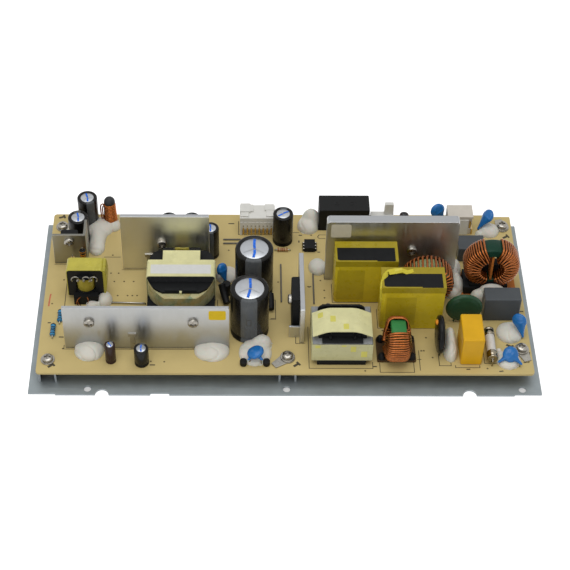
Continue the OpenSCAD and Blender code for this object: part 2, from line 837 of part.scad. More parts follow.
module filter_transformer_bobbin() color([0.1, 0.1, 0.1])
    on_board(filter_at) {
        ledge = [filter_flange[0], filter_core[1] / 2 - filter_wrap_l / 2, filter_ledge_t];
        for (sy = [-1, 1]) {
            translate([0, sy * (filter_wrap_l + filter_flange[1]) / 2, filter_roof])
                rotate([90, 0, 0])
                    linear_extrude(filter_flange[1], center = true)
                        filter_roof_outline(filter_flange[0] + 4, 0.8);
            translate([0, sy * (filter_wrap_l + ledge[1]) / 2, filter_roof])
                block(ledge);
            translate([0, sy * (filter_core[1] + tape_t * 2 - filter_rail[1]) / 2, 0])
                block([filter_rail[0], filter_rail[1], filter_core_low]);
        }
    }

module filter_transformer_winding() color("palegoldenrod")
    on_board(filter_at) {
        translate([0, 0, filter_roof])
            rotate([90, 0, 0])
                linear_extrude(filter_wrap_l, center = true)
                    filter_roof_outline(filter_core[0]);
        difference() {
            translate([0, 0, filter_core_low])
                block([filter_inner - 2 * fit, filter_window - 2 * fit, filter_core[2]]);
            translate([0, 0, filter_core_low + (filter_core[2] - filter_post[1]) / 2 - fit])
                block([filter_post[0] + 2 * fit, filter_core[1], filter_post[1] + 2 * fit]);
        }
    }

module filter_transformer_tape() color("khaki")
    on_board(filter_at, filter_core_low + filter_belt_low)
        difference() {
            block([filter_core[0] + 2 * tape_t, filter_core[1] + 2 * tape_t, filter_core[2] - 1]);
            translate([0, 0, -1])
                block([filter_core[0], filter_core[1], filter_core[2] + 2]);
        }

// Wire windings: a tube swept along a path, with a ring of points square to each stretch.
// Each path point holds its place and the direction that the turns advance in.
wire_sides = 6;
corner_points = 2;
turn_points = 4 * corner_points;

function unit(v) = v / norm(v);
function path_ring(p, dir, adv, r) =
    let (n = unit(cross(dir, adv)), b = unit(cross(n, dir)))
    [for (k = [0:wire_sides - 1]) p + r * (cos(360 * k / wire_sides) * n + sin(360 * k / wire_sides) * b)];

module swept_wire(path, d) {
    n = len(path);
    rings = [for (i = [0:n - 1])
        path_ring(path[i][0], unit(path[min(i + 1, n - 1)][0] - path[max(i - 1, 0)][0]), path[i][1], d / 2)];
    points = [for (ring = rings, p = ring) p];
    sides = [for (i = [0:n - 2], k = [0:wire_sides - 1])
        let (a = i * wire_sides + k, b = i * wire_sides + (k + 1) % wire_sides)
        [a, b, b + wire_sides, a + wire_sides]];
    first = [for (k = [wire_sides - 1:-1:0]) k];
    last = [for (k = [0:wire_sides - 1]) (n - 1) * wire_sides + k];
    polyhedron(points, concat([first], sides, [last]));
}

// Path of the turns round a ring core [inner radius, outer radius, half width], axis along Z. Inside the
// ring the turns take this many layers by turns, and lag turns a strand back outside and inside the ring.
function ring_path(ring, d, turns, from, to, layers = 1, lag = [0, 0]) =
    let (reach = (d / 2 + fit) / cos(45 / corner_points), count = turns * turn_points)
    [for (i = [0:count])
        let (k = i % turn_points, c = floor(k / corner_points),
            a = c * 90 + (k % corner_points + 0.5) * 90 / corner_points,
            inner = c == 1 || c == 2,
            layer = inner ? d * (floor(i / turn_points) % layers) : 0,
            rho = (inner ? ring[0] - layer : ring[1]) + reach * cos(a),
            z = (c < 2 ? 1 : -1) * (ring[2] + layer) + reach * sin(a),
            phi = from + (to - from) * i / count + lag[inner ? 1 : 0])
        [[rho * cos(phi), rho * sin(phi), z], [-sin(phi), cos(phi), 0]]];

module ring_core(ring) difference() {
    cylinder(r = ring[1], h = 2 * ring[2], center = true);
    cylinder(r = ring[0], h = 2 * ring[2] + 2, center = true);
}

// Line choke
line_z = pad_size[2] + line_base[2] + fit + line_ring[1] + fit + line_wire_d;

module line_frame() on_board(line_at, line_z)
    rotate([90, 0, 0])
        children();

module line_choke_core() color("darkgreen")
    line_frame()
        ring_core(line_ring);

module line_choke_windings() color("peru")
    line_frame()
        for (side = [0, 1])
            mirror([side, 0, 0])
                swept_wire(ring_path(line_ring, line_wire_d, line_turns, line_gap_low - 90,
                    90 - line_gap_top, 2), line_wire_d);

module line_choke_base() color([0.1, 0.1, 0.1])
    on_board(line_at, pad_size[2])
        difference() {
            union() {
                round_block(line_base, line_base_corner);
                for (sx = [-1, 1])
                    translate([sx * (line_base[0] / 2 - line_horn_in), 0, 0])
                        block([line_horn[0], line_base[1], line_base[2] + line_horn[1]]);
            }
            translate([0, 0, line_z - pad_size[2]])
                rotate([90, 0, 0])
                    cylinder(r = line_ring[1] + line_wire_d + 2 * fit, h = line_base[1] + 2, center = true);
        }

module line_choke_divider() color("saddlebrown")
    line_frame()
        cube([divider_t, 2 * (line_ring[0] - fit) - 0.2, 2 * line_ring[2]], center = true);

module insulating_pad() color("chocolate")
    on_board(line_at)
        round_block(pad_size, 1);

// Boost toroid
toroid_z = toroid_ring[1] + toroid_wire_d + 2 * fit;

module toroid_frame() on_board(toroid_at, toroid_z)
    rotate([90, 0, 0])
        children();

module boost_toroid_core() color("darkseagreen")
    toroid_frame()
        ring_core(toroid_ring);

module boost_toroid_winding() color("sienna")
    toroid_frame()
        for (strand = [0, 1])
            swept_wire(ring_path(toroid_ring, toroid_wire_d, toroid_turns, toroid_gap - 90,
                270 - toroid_gap, 1, strand * toroid_lag), toroid_wire_d);

// Small common-mode choke
small_z = small_base[2] + fit + max(small_ring[1], (small_ring[1] + fit + small_wire_d) * cos(small_gap));

module small_frame() on_board(small_at, small_z)
    rotate([90, 0, 90])
        children();

module small_choke_core() color("seagreen")
    small_frame()
        ring_core(small_ring);

module small_choke_windings() color("peru")
    small_frame()
        for (side = [0, 1])
            mirror([side, 0, 0])
                swept_wire(ring_path(small_ring, small_wire_d, small_turns, small_gap - 90,
                    90 - small_gap, 2), small_wire_d);

module small_choke_base() color([0.1, 0.1, 0.1])
    on_board(small_at + [0, small_base_shift])
        round_block(small_base, 1);

// Rod choke
rod_pitch = rod_wire_d * 1.12;
rod_cap_low = rod_wind_low + rod_turns * rod_pitch + rod_wire_d;

module rod_choke_core() color([0.15, 0.16, 0.17])
    on_board(rod_at) {
        cylinder(d = rod_d, h = rod_cap_low + eps);
        translate([0, 0, rod_cap_low])
            cylinder(d = rod_cap_d, h = rod_h - rod_dome_h - rod_cap_low + eps);
        translate([0, 0, rod_h - rod_dome_h])
            cylinder(d1 = rod_cap_d, d2 = rod_cap_d * 0.6, h = rod_dome_h);
    }

module rod_choke_winding() color("peru")
    on_board(rod_at, rod_wind_low) {
        coil_points = 10;
        r = rod_d / 2 + rod_wire_d / 2 + fit;
        swept_wire([for (i = [0:rod_turns * coil_points])
            let (a = 360 * i / coil_points)
            [[r * cos(a), r * sin(a), rod_pitch * i / coil_points], [0, 0, 1]]], rod_wire_d);
    }

// Capacitors
module can_outline(r, h) {
    crimp_z = 3.2;
    crimp = 0.4;
    polygon([[0, 0], [r, 0], [r, crimp_z - 0.8], [r - crimp, crimp_z], [r, crimp_z + 0.8], [r, h], [0, h]]);
}

module capacitor_cans() color("lightgray")
    for (c = electrolytics)
        on_board(c)
            difference() {
                rotate_extrude()
                    can_outline(c[2] / 2 - sleeve_t - fit, c[3] - sleeve_t - fit);
                vent_score(c);
            }

// Three-way pressure relief score in the top of a can
module vent_score(c)
    for (a = [0:120:240])
        rotate([0, 0, a + 75])
            translate([0, -c[2] * 0.012, c[3] - sleeve_t - fit - 0.25])
                cube([c[2] / 2 - c[4] - 1.2, c[2] * 0.024, 1]);

module capacitor_sleeves() color([0.16, 0.14, 0.14])
    for (c = electrolytics)
        on_board(c)
            rotate_extrude()
                difference() {
                    can_outline(c[2] / 2, c[3]);
                    translate([0, -eps])
                        can_outline(c[2] / 2 - sleeve_t, c[3] - sleeve_t + eps);
                    square([c[2] / 2 - c[4], c[3] + 1]);
                }

module yellow_film_capacitor() color("goldenrod")
    on_board(yellow_film_at)
        round_block(yellow_film, 1);

module grey_film_capacitors() color("dimgray") {
    on_board(grey_film_at)
        round_block(grey_film, 0.8);
    on_board(dark_film_at)
        round_block(dark_film, 0.8);
}

// Dipped disc standing in the XZ plane: a lens with a rounded rim, centred on the origin
module dipped_disc(d, t) rotate([90, 0, 0])
    rotate_extrude() {
        rim = t * 0.3;
        polygon([[0, -t / 2], [d / 2 - 2 * rim, -t / 2 + rim * 0.4], [d / 2 - rim, -rim], [d / 2 - rim, rim],
            [d / 2 - 2 * rim, t / 2 - rim * 0.4], [0, t / 2]]);
        translate([d / 2 - rim, 0])
            circle(rim);
    }

// Two round leads from the board up into a disc, side by side along X
module disc_leads(d, z)
    for (sx = [-1, 1])
        translate([sx * d * 0.24, 0, 0])
            cylinder(d = lead, h = z - d * 0.3);

module disc_capacitors() color("dodgerblue")
    for (c = discs)
        on_board(c)
            rotate([0, 0, c[4]]) {
                translate([0, 0, c[3]])
                    rotate([-c[5], 0, 0])
                        dipped_disc(c[2], disc_t);
                disc_leads(c[2], c[3]);
            }

module lead_sleeves() color([0.08, 0.08, 0.08])
    for (s = sleeve_spots)
        on_board(s)
            cylinder(d = s[2], h = s[3]);

module varistor() color([0.13, 0.25, 0.18])
    on_board(varistor_at) {
        z = varistor_d / 2 + disc_foot;
        translate([0, 0, z])
            dipped_disc(varistor_d, varistor_t);
        disc_leads(varistor_d, z);
    }

module thermistor() color([0.12, 0.12, 0.12])
    on_board(thermistor_at)
        rotate([0, 0, 90]) {
            z = thermistor_d / 2 + disc_foot;
            translate([0, 0, z])
                dipped_disc(thermistor_d, thermistor_t);
            disc_leads(thermistor_d, z);
        }

// Fuse along Y
module fuse_body() color("ivory")
    on_board(fuse_at, fuse_z)
        rotate([90, 0, 0])
            cylinder(d = fuse_d, h = fuse_l - 2, center = true);

module fuse_caps() color("gold")
    for (sy = [-1, 1])
        on_board(fuse_at + [0, sy * fuse_l / 2], fuse_z) {
            rotate([sy * 90, 0, 0])
                difference() {
                    cylinder(d = fuse_cap_d, h = fuse_cap_l);
                    translate([0, 0, 1 - eps])
                        cylinder(d = fuse_d + 2 * fit, h = fuse_cap_l);
                }
            translate([0, sy * (lead / 2 - eps), -fuse_z])
                block([lead, lead, fuse_z + lead]);
        }

// Connectors: a housing open to the back, with a comb of slots [width, height] in its front wall
module housing(size, n, pitch, slot) difference() {
    block(size);
    translate([0, housing_back, housing_wall])
        block([size[0] - 2 * housing_wall, size[1], size[2] - 2 * housing_wall]);
    for (i = [0:n - 1])
        translate([(i - (n - 1) / 2) * pitch, -size[1] / 2, -1])
            block([slot[0], 2 * (housing_back + 1), 1 + slot[1]]);
}

// Bent pins: a blade in the housing and a leg down to the board in front of it
module pin_row(size, n, pitch, z)
    for (i = [0:n - 1])
        translate([(i - (n - 1) / 2) * pitch, 0, 0]) {
            blade = size[1] - 2;
            translate([0, -1, z])
                block([lead, blade, lead]);
            translate([0, -1 - (blade - lead) / 2, 0])
                block([lead, lead, z + lead]);
        }

module output_connector() color("white")
    on_board(output_at) {
        slot = [lead + 2 * fit, output_pin_z + lead + fit];
        difference() {
            housing(output_size, output_pins_n, output_pitch, slot);
            translate([0, -output_size[1] / 2, -1])
                block([output_size[0] - 2 * housing_wall, 2 * output_recess, 1 + slot[1]]);
        }
        for (sx = [-1, 1])
            translate([sx * ((output_size[0] - output_rib[0]) / 2 - output_rib_in), 0, output_size[2] - eps])
                block([output_rib[0], output_size[1] - 2, output_rib[1]]);
    }

module mains_connector() color("linen")
    on_board(mains_at)
        housing(mains_size, mains_pins_n, mains_pitch, mains_slot);

module connector_pins() color("darkgoldenrod") {
    on_board(output_at)
        pin_row(output_size, output_pins_n, output_pitch, output_pin_z);
    on_board(mains_at)
        pin_row(mains_size, mains_pins_n, mains_pitch, mains_pin_z);
}

// Small header: a low base and a tall friction wall at one end
module signal_connector() color("white")
    on_board(signal_at) {
        top_half = signal_wall[0] / 2 - signal_wall_taper;
        block(signal_base);
        translate([(signal_base[0] - signal_wall[0]) / 2, signal_base[1] / 2 - 0.6, 0])
            rotate([90, 0, 0])
                linear_extrude(signal_wall[1])
                    polygon([[-signal_wall[0] / 2, 0], [signal_wall[0] / 2, 0], [top_half, signal_wall[2]],
                        [-top_half, signal_wall[2]]]);
    }

module relay() color([0.08, 0.08, 0.09])
    on_board(relay_at)
        round_block(relay_size, 0.6);

// Control chip on its bent legs
module control_chip() color([0.1, 0.1, 0.1])
    on_board(chip_at) {
        translate([0, 0, chip_foot])
            block(chip_size);
        for (sx = [-1, 1], i = [0:chip_pins - 1])
            translate([sx * (chip_size[0] / 2 + lead / 2 - eps), (i - (chip_pins - 1) / 2) * chip_pitch, 0])
                block([lead, lead, chip_foot + chip_size[2] / 2]);
    }

// Body along Z with fuller ends, centred on the origin
module axial_body(l, d) {
    end = l * 0.16;
    cylinder(d = d * 0.86, h = l - 2 * end, center = true);
    for (s = [-1, 1])
        translate([0, 0, s * (l - end) / 2])
            cylinder(d = d, h = end + eps, center = true);
}

module resistors() color("royalblue") {
    lead_d = lead * 0.8;
    lead_out = 2;
    for (r = resistor_spots)
        on_board(r, r[3] / 2)
            rotate([0, 0, r[4]])
                rotate([0, 90, 0]) {
                    axial_body(r[2], r[3]);
                    cylinder(d = lead_d, h = r[2] + 2 * lead_out, center = true);
                }
    for (r = upright_spots)
        on_board(r) {
            translate([0, 0, r[4] + r[2] / 2])
                axial_body(r[2], r[3]);
            cylinder(d = lead_d, h = r[4] + r[2] + lead_out);
        }
}

// Silicone beads: round caps on the board, cut clear of the parts that they hold
module bead(b) {
    r = (b[2] * b[2] + b[3] * b[3]) / (2 * b[3]);
    intersection() {
        translate([0, 0, b[3] - r])
            sphere(r);
        cylinder(r = b[2] + 1, h = b[3] + 1);
    }
}

module bead_neighbours() {
    gap = 2 * fit;
    tall = 60;
    for (c = electrolytics)
        on_board(c, -1)
            cylinder(d = c[2] + gap, h = tall);
    on_board(rod_at, -1)
        cylinder(d = max(rod_cap_d, rod_d + 2 * rod_wire_d + 4 * fit) + gap, h = tall);
    on_board(relay_at, -1)
        block([relay_size[0] + gap, relay_size[1] + gap, tall]);
    on_board(fuse_at, -1)
        block([fuse_cap_d + gap, fuse_l + 2 * lead + gap, tall]);
    for (d = device_spots)
        on_board(d[0] + [0, device_t / 2], -1)
            block([device_w + gap, device_t + gap, tall]);
    for (h = [[output_hs_at, output_hs_w, output_hs_t], [front_hs_at, front_hs_w, front_hs_t],
            [input_hs_at, input_hs_w, input_hs_t]])
        on_board(h[0], -1)
            block([h[1] + gap, h[2] + gap, tall]);
    on_board(regulator_hs_at + [0, regulator_hs_wing / 2], -1)
        block([regulator_hs_w + gap, regulator_hs_wing + regulator_hs_t + gap, tall]);
    on_board(standby_at, -1)
        block([standby_core[0] + 2 * tape_t + gap, 2 * standby_reach + 2 * standby_rail[1] + gap, tall]);
    for (f = [[yellow_film_at, yellow_film], [grey_film_at, grey_film]])
        on_board(f[0], -1)
            block([f[1][0] + gap, f[1][1] + gap, tall]);
    on_board(thermistor_at, -1)
        block([thermistor_t + gap, thermistor_d + gap, tall]);
    on_board(line_at, -1) {
        block([line_base[0] + gap, line_base[1] + gap, tall]);
        block([pad_size[0] + gap, pad_size[1] + gap, 1 + pad_size[2] + fit]);
    }
    for (c = discs)
        on_board(c, -1)
            rotate([0, 0, c[4]])
                block([c[2] + gap, (disc_t + gap) / cos(c[5]) + c[2] * sin(c[5]), tall]);
    for (s = sleeve_spots)
        on_board(s, -1)
            cylinder(d = s[2] + gap, h = tall);
}

module silicone_beads() color("whitesmoke")
    difference() {
        for (b = beads)
            on_board(b)
                bead(b);
        bead_neighbours();
    }

base_plate();
circuit_board();
board_screws();
board_washers();
ground_lugs();
wire_jumpers();
output_heatsink();
front_heatsink();
input_heatsink();
switch_heatsink();
regulator_heatsink();
heatsink_screws();
power_devices();
switch_transistor();
bridge_rectifier();
device_leads();
main_transformer_core();
main_transformer_bobbin();
main_transformer_winding();
main_transformer_tape();
standby_transformer_core();
standby_transformer_bobbin();
standby_transformer_winding();
standby_transformer_tape();
power_choke_cores();
power_choke_tapes();
filter_transformer_core();
filter_transformer_bobbin();
filter_transformer_winding();
filter_transformer_tape();
line_choke_core();
line_choke_windings();
line_choke_base();
line_choke_divider();
insulating_pad();
boost_toroid_core();
boost_toroid_winding();
small_choke_core();
small_choke_windings();
small_choke_base();
rod_choke_core();
rod_choke_winding();
capacitor_cans();
capacitor_sleeves();
yellow_film_capacitor();
grey_film_capacitors();
disc_capacitors();
lead_sleeves();
varistor();
thermistor();
fuse_body();
fuse_caps();
output_connector();
mains_connector();
signal_connector();
connector_pins();
relay();
control_chip();
resistors();
silicone_beads();
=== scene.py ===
"""Finishes and formed pieces of an open-frame power supply board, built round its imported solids."""
import random
from math import atan2, cos, exp, pi, radians, sin, sqrt

import bmesh
import bpy
import numpy as np
from mathutils import Matrix, Vector, noise


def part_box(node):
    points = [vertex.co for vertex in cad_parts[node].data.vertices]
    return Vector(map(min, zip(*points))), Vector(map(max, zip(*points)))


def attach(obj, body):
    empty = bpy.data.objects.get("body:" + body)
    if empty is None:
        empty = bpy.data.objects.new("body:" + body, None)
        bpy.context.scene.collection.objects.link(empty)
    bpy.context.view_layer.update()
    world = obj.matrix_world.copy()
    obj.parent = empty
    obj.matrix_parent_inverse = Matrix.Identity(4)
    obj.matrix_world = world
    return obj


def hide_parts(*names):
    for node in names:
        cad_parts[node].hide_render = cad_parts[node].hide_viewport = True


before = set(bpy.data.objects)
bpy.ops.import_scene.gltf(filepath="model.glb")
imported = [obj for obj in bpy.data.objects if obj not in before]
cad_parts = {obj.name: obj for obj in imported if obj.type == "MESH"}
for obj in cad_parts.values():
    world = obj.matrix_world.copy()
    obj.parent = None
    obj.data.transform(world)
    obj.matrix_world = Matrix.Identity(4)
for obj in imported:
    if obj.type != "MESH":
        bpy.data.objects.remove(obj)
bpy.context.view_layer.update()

bl_info = {
    "name": "Power Supply Board",
    "version": (1, 0, 0),
    "blender": (4, 5, 0),
    "location": "View3D > Sidebar > Power Supply",
    "description": "Dresses the packed power supply board with its finishes and formed pieces",
    "category": "Object",
}

MM = 0.001
BODY = "root"
board_low, board_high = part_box("circuit_board")
BOARD_MID = (board_low + board_high) / 2
BOARD_TOP = board_high.z
PLATE_TOP = 1.0 * MM
# The plate's three front holes
HOLES_X = (-111.2 * MM, 1.0 * MM, 133.8 * MM)
# The range that most values of a noise texture lie in
NOISE_SPAN = {"From Min": 0.3, "From Max": 0.7}
# How near to zero the noise is across a fold in a soft form
FOLD_WIDTH = 0.07
# Points nearer than this are one point, and edges that turn by more than this angle are rounded
SAME_POINT = 1e-6
EDGE_ANGLE = radians(50)


def linear(code):
    """An sRGB hex value as linear red, green, blue and alpha."""
    parts = [int(code[i:i + 2], 16) / 255 for i in (1, 3, 5)]
    return tuple(c / 12.92 if c <= 0.04045 else ((c + 0.055) / 1.055) ** 2.4 for c in parts) + (1.0,)


def colour(code, name, description):
    """A colour that a user can change, with its sRGB default."""
    return bpy.props.FloatVectorProperty(
        name=name, description=description, subtype="COLOR", size=4, min=0, max=1, default=linear(code))


def length(mm, name, description):
    """A size that a user can change, given in mm."""
    return bpy.props.FloatProperty(
        name=name, description=description, subtype="DISTANCE", unit="LENGTH", default=mm * MM)


class SupplyColours(bpy.types.PropertyGroup):
    """Main colours of the board's parts."""
    board: colour("#C4B077", "Board", "Tan laminate under a clear mask")
    plate: colour("#8F979A", "Base plate", "Zinc-plated sheet steel")
    copper: colour("#98541E", "Copper wire", "Enamelled winding wire")
    choke_tape: colour("#CDB728", "Choke tape", "Yellow tape on the power chokes")
    cream_tape: colour("#D8D4A0", "Cream tape", "Tape on the main and filter transformers")
    standby_tape: colour("#BCB24A", "Standby tape", "Tape on the standby transformer")
    sleeve: colour("#141312", "Capacitor sleeve", "Black shrink sleeve")
    stripe: colour("#55585A", "Sleeve stripe", "Grey polarity stripe")
    disc: colour("#1F6AAE", "Ceramic discs", "Blue dipped coat")
    silicone: colour("#D2CFC4", "Silicone", "White sealant")
    yellow_box: colour("#DAA71C", "Yellow capacitor", "Moulded film capacitor box")
    grey_box: colour("#4A4E51", "Grey capacitor", "Moulded film capacitor box")


class SupplySizes(bpy.types.PropertyGroup):
    """Sizes of the formed pieces."""
    edge: length(0.25, "Sheet edge", "Width of the broken edges on sheet metal and board")
    print_line: length(0.4, "Printed line", "Width of the board's printed outlines")
    bead_voxel: length(0.4, "Bead detail", "Grid size that the silicone beads are formed on")


def colours():
    """The colours that a user set."""
    return bpy.context.scene.supply_colours


def sizes():
    """The sizes that a user set."""
    return bpy.context.scene.supply_sizes


# Materials

def add_node(tree, kind, inputs=None, into=None, out=0, **settings):
    """Adds one shader node with its settings, values and links, and returns one of its outputs."""
    made = tree.nodes.new(kind)
    for name, value in settings.items():
        setattr(made, name, value)
    for name, value in (inputs or {}).items():
        if isinstance(value, bpy.types.NodeSocket):
            tree.links.new(value, made.inputs[name])
        else:
            made.inputs[name].default_value = value
    if into:
        tree.links.new(made.outputs[out], into)
    return made.outputs[out]


def start(name, roughness, **sockets):
    """A new material with one Principled shader, its tree and the object's own coordinates."""
    made = bpy.data.materials.new(name)
    made.use_nodes = True
    tree = made.node_tree
    shader = tree.nodes["Principled BSDF"].inputs
    shader["Roughness"].default_value = roughness
    for socket, value in sockets.items():
        shader[socket.replace("_", " ")].default_value = value
    where = add_node(tree, "ShaderNodeTexCoord", out="Object")
    return made, tree, shader, where


def tone(base, by=1.0):
    """A linear colour, made darker or lighter by a factor.

    The base is an sRGB hex value, the name of a colour that a user can change, or either with a factor."""
    if isinstance(base, tuple):
        base, own = base
        by *= own
    rgb = linear(base) if base.startswith("#") else getattr(colours(), base)
    return tuple(min(1.0, c * by) for c in rgb[:3]) + (1.0,)


def mottle(tree, shader, where, base, spread, patch_mm, stretch=(1, 1, 1)):
    """Uneven colour: patches of a real size, a little darker and lighter than the base."""
    placed = add_node(tree, "ShaderNodeMapping", {"Vector": where, "Scale": stretch})
    patches = add_node(tree, "ShaderNodeTexNoise",
                       {"Vector": placed, "Scale": 1 / (patch_mm * MM), "Detail": 4.0})
    soft = add_node(tree, "ShaderNodeMapRange", {"Value": patches, **NOISE_SPAN})
    return add_node(tree, "ShaderNodeMixRGB", {"Fac": soft, "Color1": tone(base, 1 - spread),
                    "Color2": tone(base, 1 + spread)}, into=shader["Base Color"])


def grit(tree, shader, where, grain_mm, depth_mm, stretch=(1, 1, 1), rough=None):
    """Fine relief with a grain size, and roughness that follows it between two values.

    Grain finer than about 0.4 mm wouldn't show in the render, so the finest grain is drawn that coarse."""
    placed = add_node(tree, "ShaderNodeMapping", {"Vector": where, "Scale": stretch})
    grain = add_node(tree, "ShaderNodeTexNoise",
                     {"Vector": placed, "Scale": 1 / (grain_mm * MM), "Detail": 3.0})
    add_node(tree, "ShaderNodeBump", {"Height": grain, "Distance": depth_mm * MM, "Strength": 0.6},
             into=shader["Normal"])
    if rough:
        add_node(tree, "ShaderNodeMapRange", {"Value": grain, **NOISE_SPAN, "To Min": rough[0],
                 "To Max": rough[1]}, into=shader["Roughness"])


def surface(name, roughness, base, patches, grain=None, rough=None, metallic=0.0, gloss=0.5, **sockets):
    """A material of one colour: patches as spread and size in mm, grain as size and depth in mm, and the
    roughness across the grain."""
    made, tree, shader, where = start(name, roughness, Metallic=metallic, Specular_IOR_Level=gloss,
                                      **sockets)
    mottle(tree, shader, where, base, *patches)
    if grain:
        grit(tree, shader, where, *grain, rough=rough)
    return made


def zinc_sheet():
    """Zinc-plated sheet steel, rolled: a dull blue-grey with faint spangle, turning near-black above a set
    height, on the drawn-up bridges under the board: painted shade."""
    made, tree, shader, where = start("zinc_plated_sheet", 0.45, Metallic=0.6, Specular_IOR_Level=0.3)
    plain = mottle(tree, shader, where, "plate", 0.07, 9)
    height = add_node(tree, "ShaderNodeSeparateXYZ", {"Vector": where}, out="Z")
    # Near-black from 1.2 to 2.6 mm above the plate's underside and higher, on the bridges under the board:
    # painted shade
    painted_bridge_shade = add_node(tree, "ShaderNodeMapRange",
                     {"Value": height, "From Min": 1.2 * MM, "From Max": 2.6 * MM})
    add_node(tree, "ShaderNodeMixRGB", {"Fac": painted_bridge_shade, "Color1": plain, "Color2": linear("#303334")},
             into=shader["Base Color"])
    grit(tree, shader, where, 1.2, 0.01, stretch=(0.08, 1, 1), rough=(0.4, 0.52))
    return made


def shade_darkened_tin():
    """Tin on drawn wire: a dull warm grey, darker than bright tin as painted shade, with slow waves where
    the dip ran.
    """
    return surface("oxidised_tin_wire", 0.24, "#6A675F", (0.1, 4), (2.2, 0.06), gloss=0.09,
                   Coat_Weight=0.06, Coat_Roughness=0.06)


def rolled_aluminium(name, base, side_shade_base="#A2A4A6"):
    """Rolled aluminium sheet, bare: a soft mirror with faint rolling lines. Faces that don't point up take a
    darker grey than those that do: painted shade on the sides."""
    made, tree, shader, where = start(name, 0.34, Metallic=1.0)
    face = mottle(tree, shader, where, base, 0.05, 16)
    # Faces that point up keep the base colour, the rest take the darker grey: painted shade by facing
    normal = add_node(tree, "ShaderNodeNewGeometry", out="Normal")
    upward = add_node(tree, "ShaderNodeSeparateXYZ", {"Vector": normal}, out="Z")
    edge = add_node(tree, "ShaderNodeMapRange", {"Value": upward, "From Min": 0.5, "From Max": 0.8})
    add_node(tree, "ShaderNodeMixRGB", {"Fac": edge, "Color1": face, "Color2": linear(side_shade_base)},
             into=shader["Base Color"])
    grit(tree, shader, where, 1.4, 0.004, stretch=(1, 1, 0.1), rough=(0.3, 0.42))
    return made


def ground_ferrite(name, base):
    """Sintered ferrite, ground: grey ceramic with tiny pits and a dull sheen."""
    return surface(name, 0.5, base, (0.14, 2.5), (0.35, 0.03), (0.42, 0.6), gloss=0.2)


def polyester_tape(name, base, patch_mm=7.0):
    """Polyester tape over a winding: glossy film, with darker squares where fewer layers lie."""
    made, tree, shader, where = start(name, 0.36, Specular_IOR_Level=0.25)
    layer = add_node(tree, "ShaderNodeTexVoronoi", {"Vector": where, "Scale": 1 / (patch_mm * MM)},
                     out="Color", distance="CHEBYCHEV")
    value = add_node(tree, "ShaderNodeSeparateColor", {"Color": layer})
    cloud = mottle(tree, shader, where, base, 0.06, 5)
    steps = add_node(tree, "ShaderNodeMapRange", {"Value": value, "To Min": 0.0, "To Max": 0.16})
    add_node(tree, "ShaderNodeMixRGB", {"Fac": steps, "Color1": cloud, "Color2": tone(base, 0.55)},
             into=shader["Base Color"])
    grit(tree, shader, where, 3.0, 0.03, rough=(0.24, 0.38))
    return made


def wrapped_winding():
    """Clear film over a copper winding: murky olive, where green and copper tones show through."""
    made, tree, shader, where = start("wrapped_winding", 0.3, Specular_IOR_Level=0.35)
    tones = add_node(tree, "ShaderNodeTexNoise", {"Vector": where, "Scale": 1 / (6 * MM), "Detail": 2.0})
    ramp = add_node(tree, "ShaderNodeMapRange", {"Value": tones, "From Min": 0.42, "From Max": 0.58})
    film = add_node(tree, "ShaderNodeTexVoronoi", {"Vector": where, "Scale": 1 / (5 * MM)}, out="Color")
    layer = add_node(tree, "ShaderNodeSeparateColor", {"Color": film})
    under = add_node(tree, "ShaderNodeMixRGB",
                     {"Fac": ramp, "Color1": linear("#7F9070"), "Color2": linear("#B09A62")})
    add_node(tree, "ShaderNodeMixRGB", {"Fac": layer, "Color1": under, "Color2": linear("#B9B387")},
             into=shader["Base Color"])
    grit(tree, shader, where, 2.5, 0.08, stretch=(1, 1, 0.4), rough=(0.2, 0.36))
    return made


def enamelled_copper(name, light):
    """Copper wire drawn and enamelled: a brown-red gloss, with painted shade where the turns press together.
    """
    made, tree, shader, where = start(name, 0.22, Metallic=0.8, Coat_Weight=0.2, Coat_Roughness=0.08)
    plain = mottle(tree, shader, where, ("copper", light), 0.14, 3)
    # Ambient occlusion mixes the colour towards near-black brown in the gaps between turns: painted shade
    near = add_node(tree, "ShaderNodeAmbientOcclusion", {"Distance": 1.6 * MM}, out="AO", samples=8)
    clear_of_painted_shade = add_node(tree, "ShaderNodeMapRange", {"Value": near, "From Min": 0.3, "From Max": 0.95})
    add_node(tree, "ShaderNodeMixRGB", {"Fac": clear_of_painted_shade, "Color1": linear("#2A1006"), "Color2": plain},
             into=shader["Base Color"])
    grit(tree, shader, where, 0.5, 0.01, rough=(0.18, 0.3))
    return made


def epoxy_coat(name, base):
    """Epoxy powder coat on a ring core: even colour with a fine orange-peel surface."""
    return surface(name, 0.35, base, (0.08, 3), (0.9, 0.04), gloss=0.12)


def dipped_coat(name, base, shine):
    """Dipped or painted resin coat: thick, even and glossy, with slow waves in its surface."""
    return surface(name, 0.24, base, (0.1, 4), (2.2, 0.06), gloss=0.3 * shine,
                   Coat_Weight=0.2 * shine, Coat_Roughness=0.06)


def shrink_sleeve(name, base):
    """Shrunk vinyl sleeve: smooth and glossy, with a slight pull over the can."""
    return surface(name, 0.28, base, (0.12, 6), (4.0, 0.03, (1, 1, 0.3)), (0.22, 0.32), gloss=0.18)


def moulded_case(name, base, roughness=0.36):
    """Moulded case or extruded tube: even colour, satin, with a faint flow pattern."""
    return surface(name, roughness, base, (0.05, 8), (0.8, 0.02), gloss=0.18)


def moulded_nylon(name, base):
    """Moulded nylon housing: milky off-white, satin and very even."""
    return surface(name, 0.45, base, (0.04, 5), (0.6, 0.015), gloss=0.25)


def cured_silicone():
    """Cured silicone sealant: waxy white, smooth, with light inside it and a soft skin."""
    return surface("cured_silicone", 0.5, "silicone", (0.04, 6), (2.0, 0.08), Subsurface_Weight=0.12,
                   Subsurface_Scale=2 * MM, gloss=0.25)


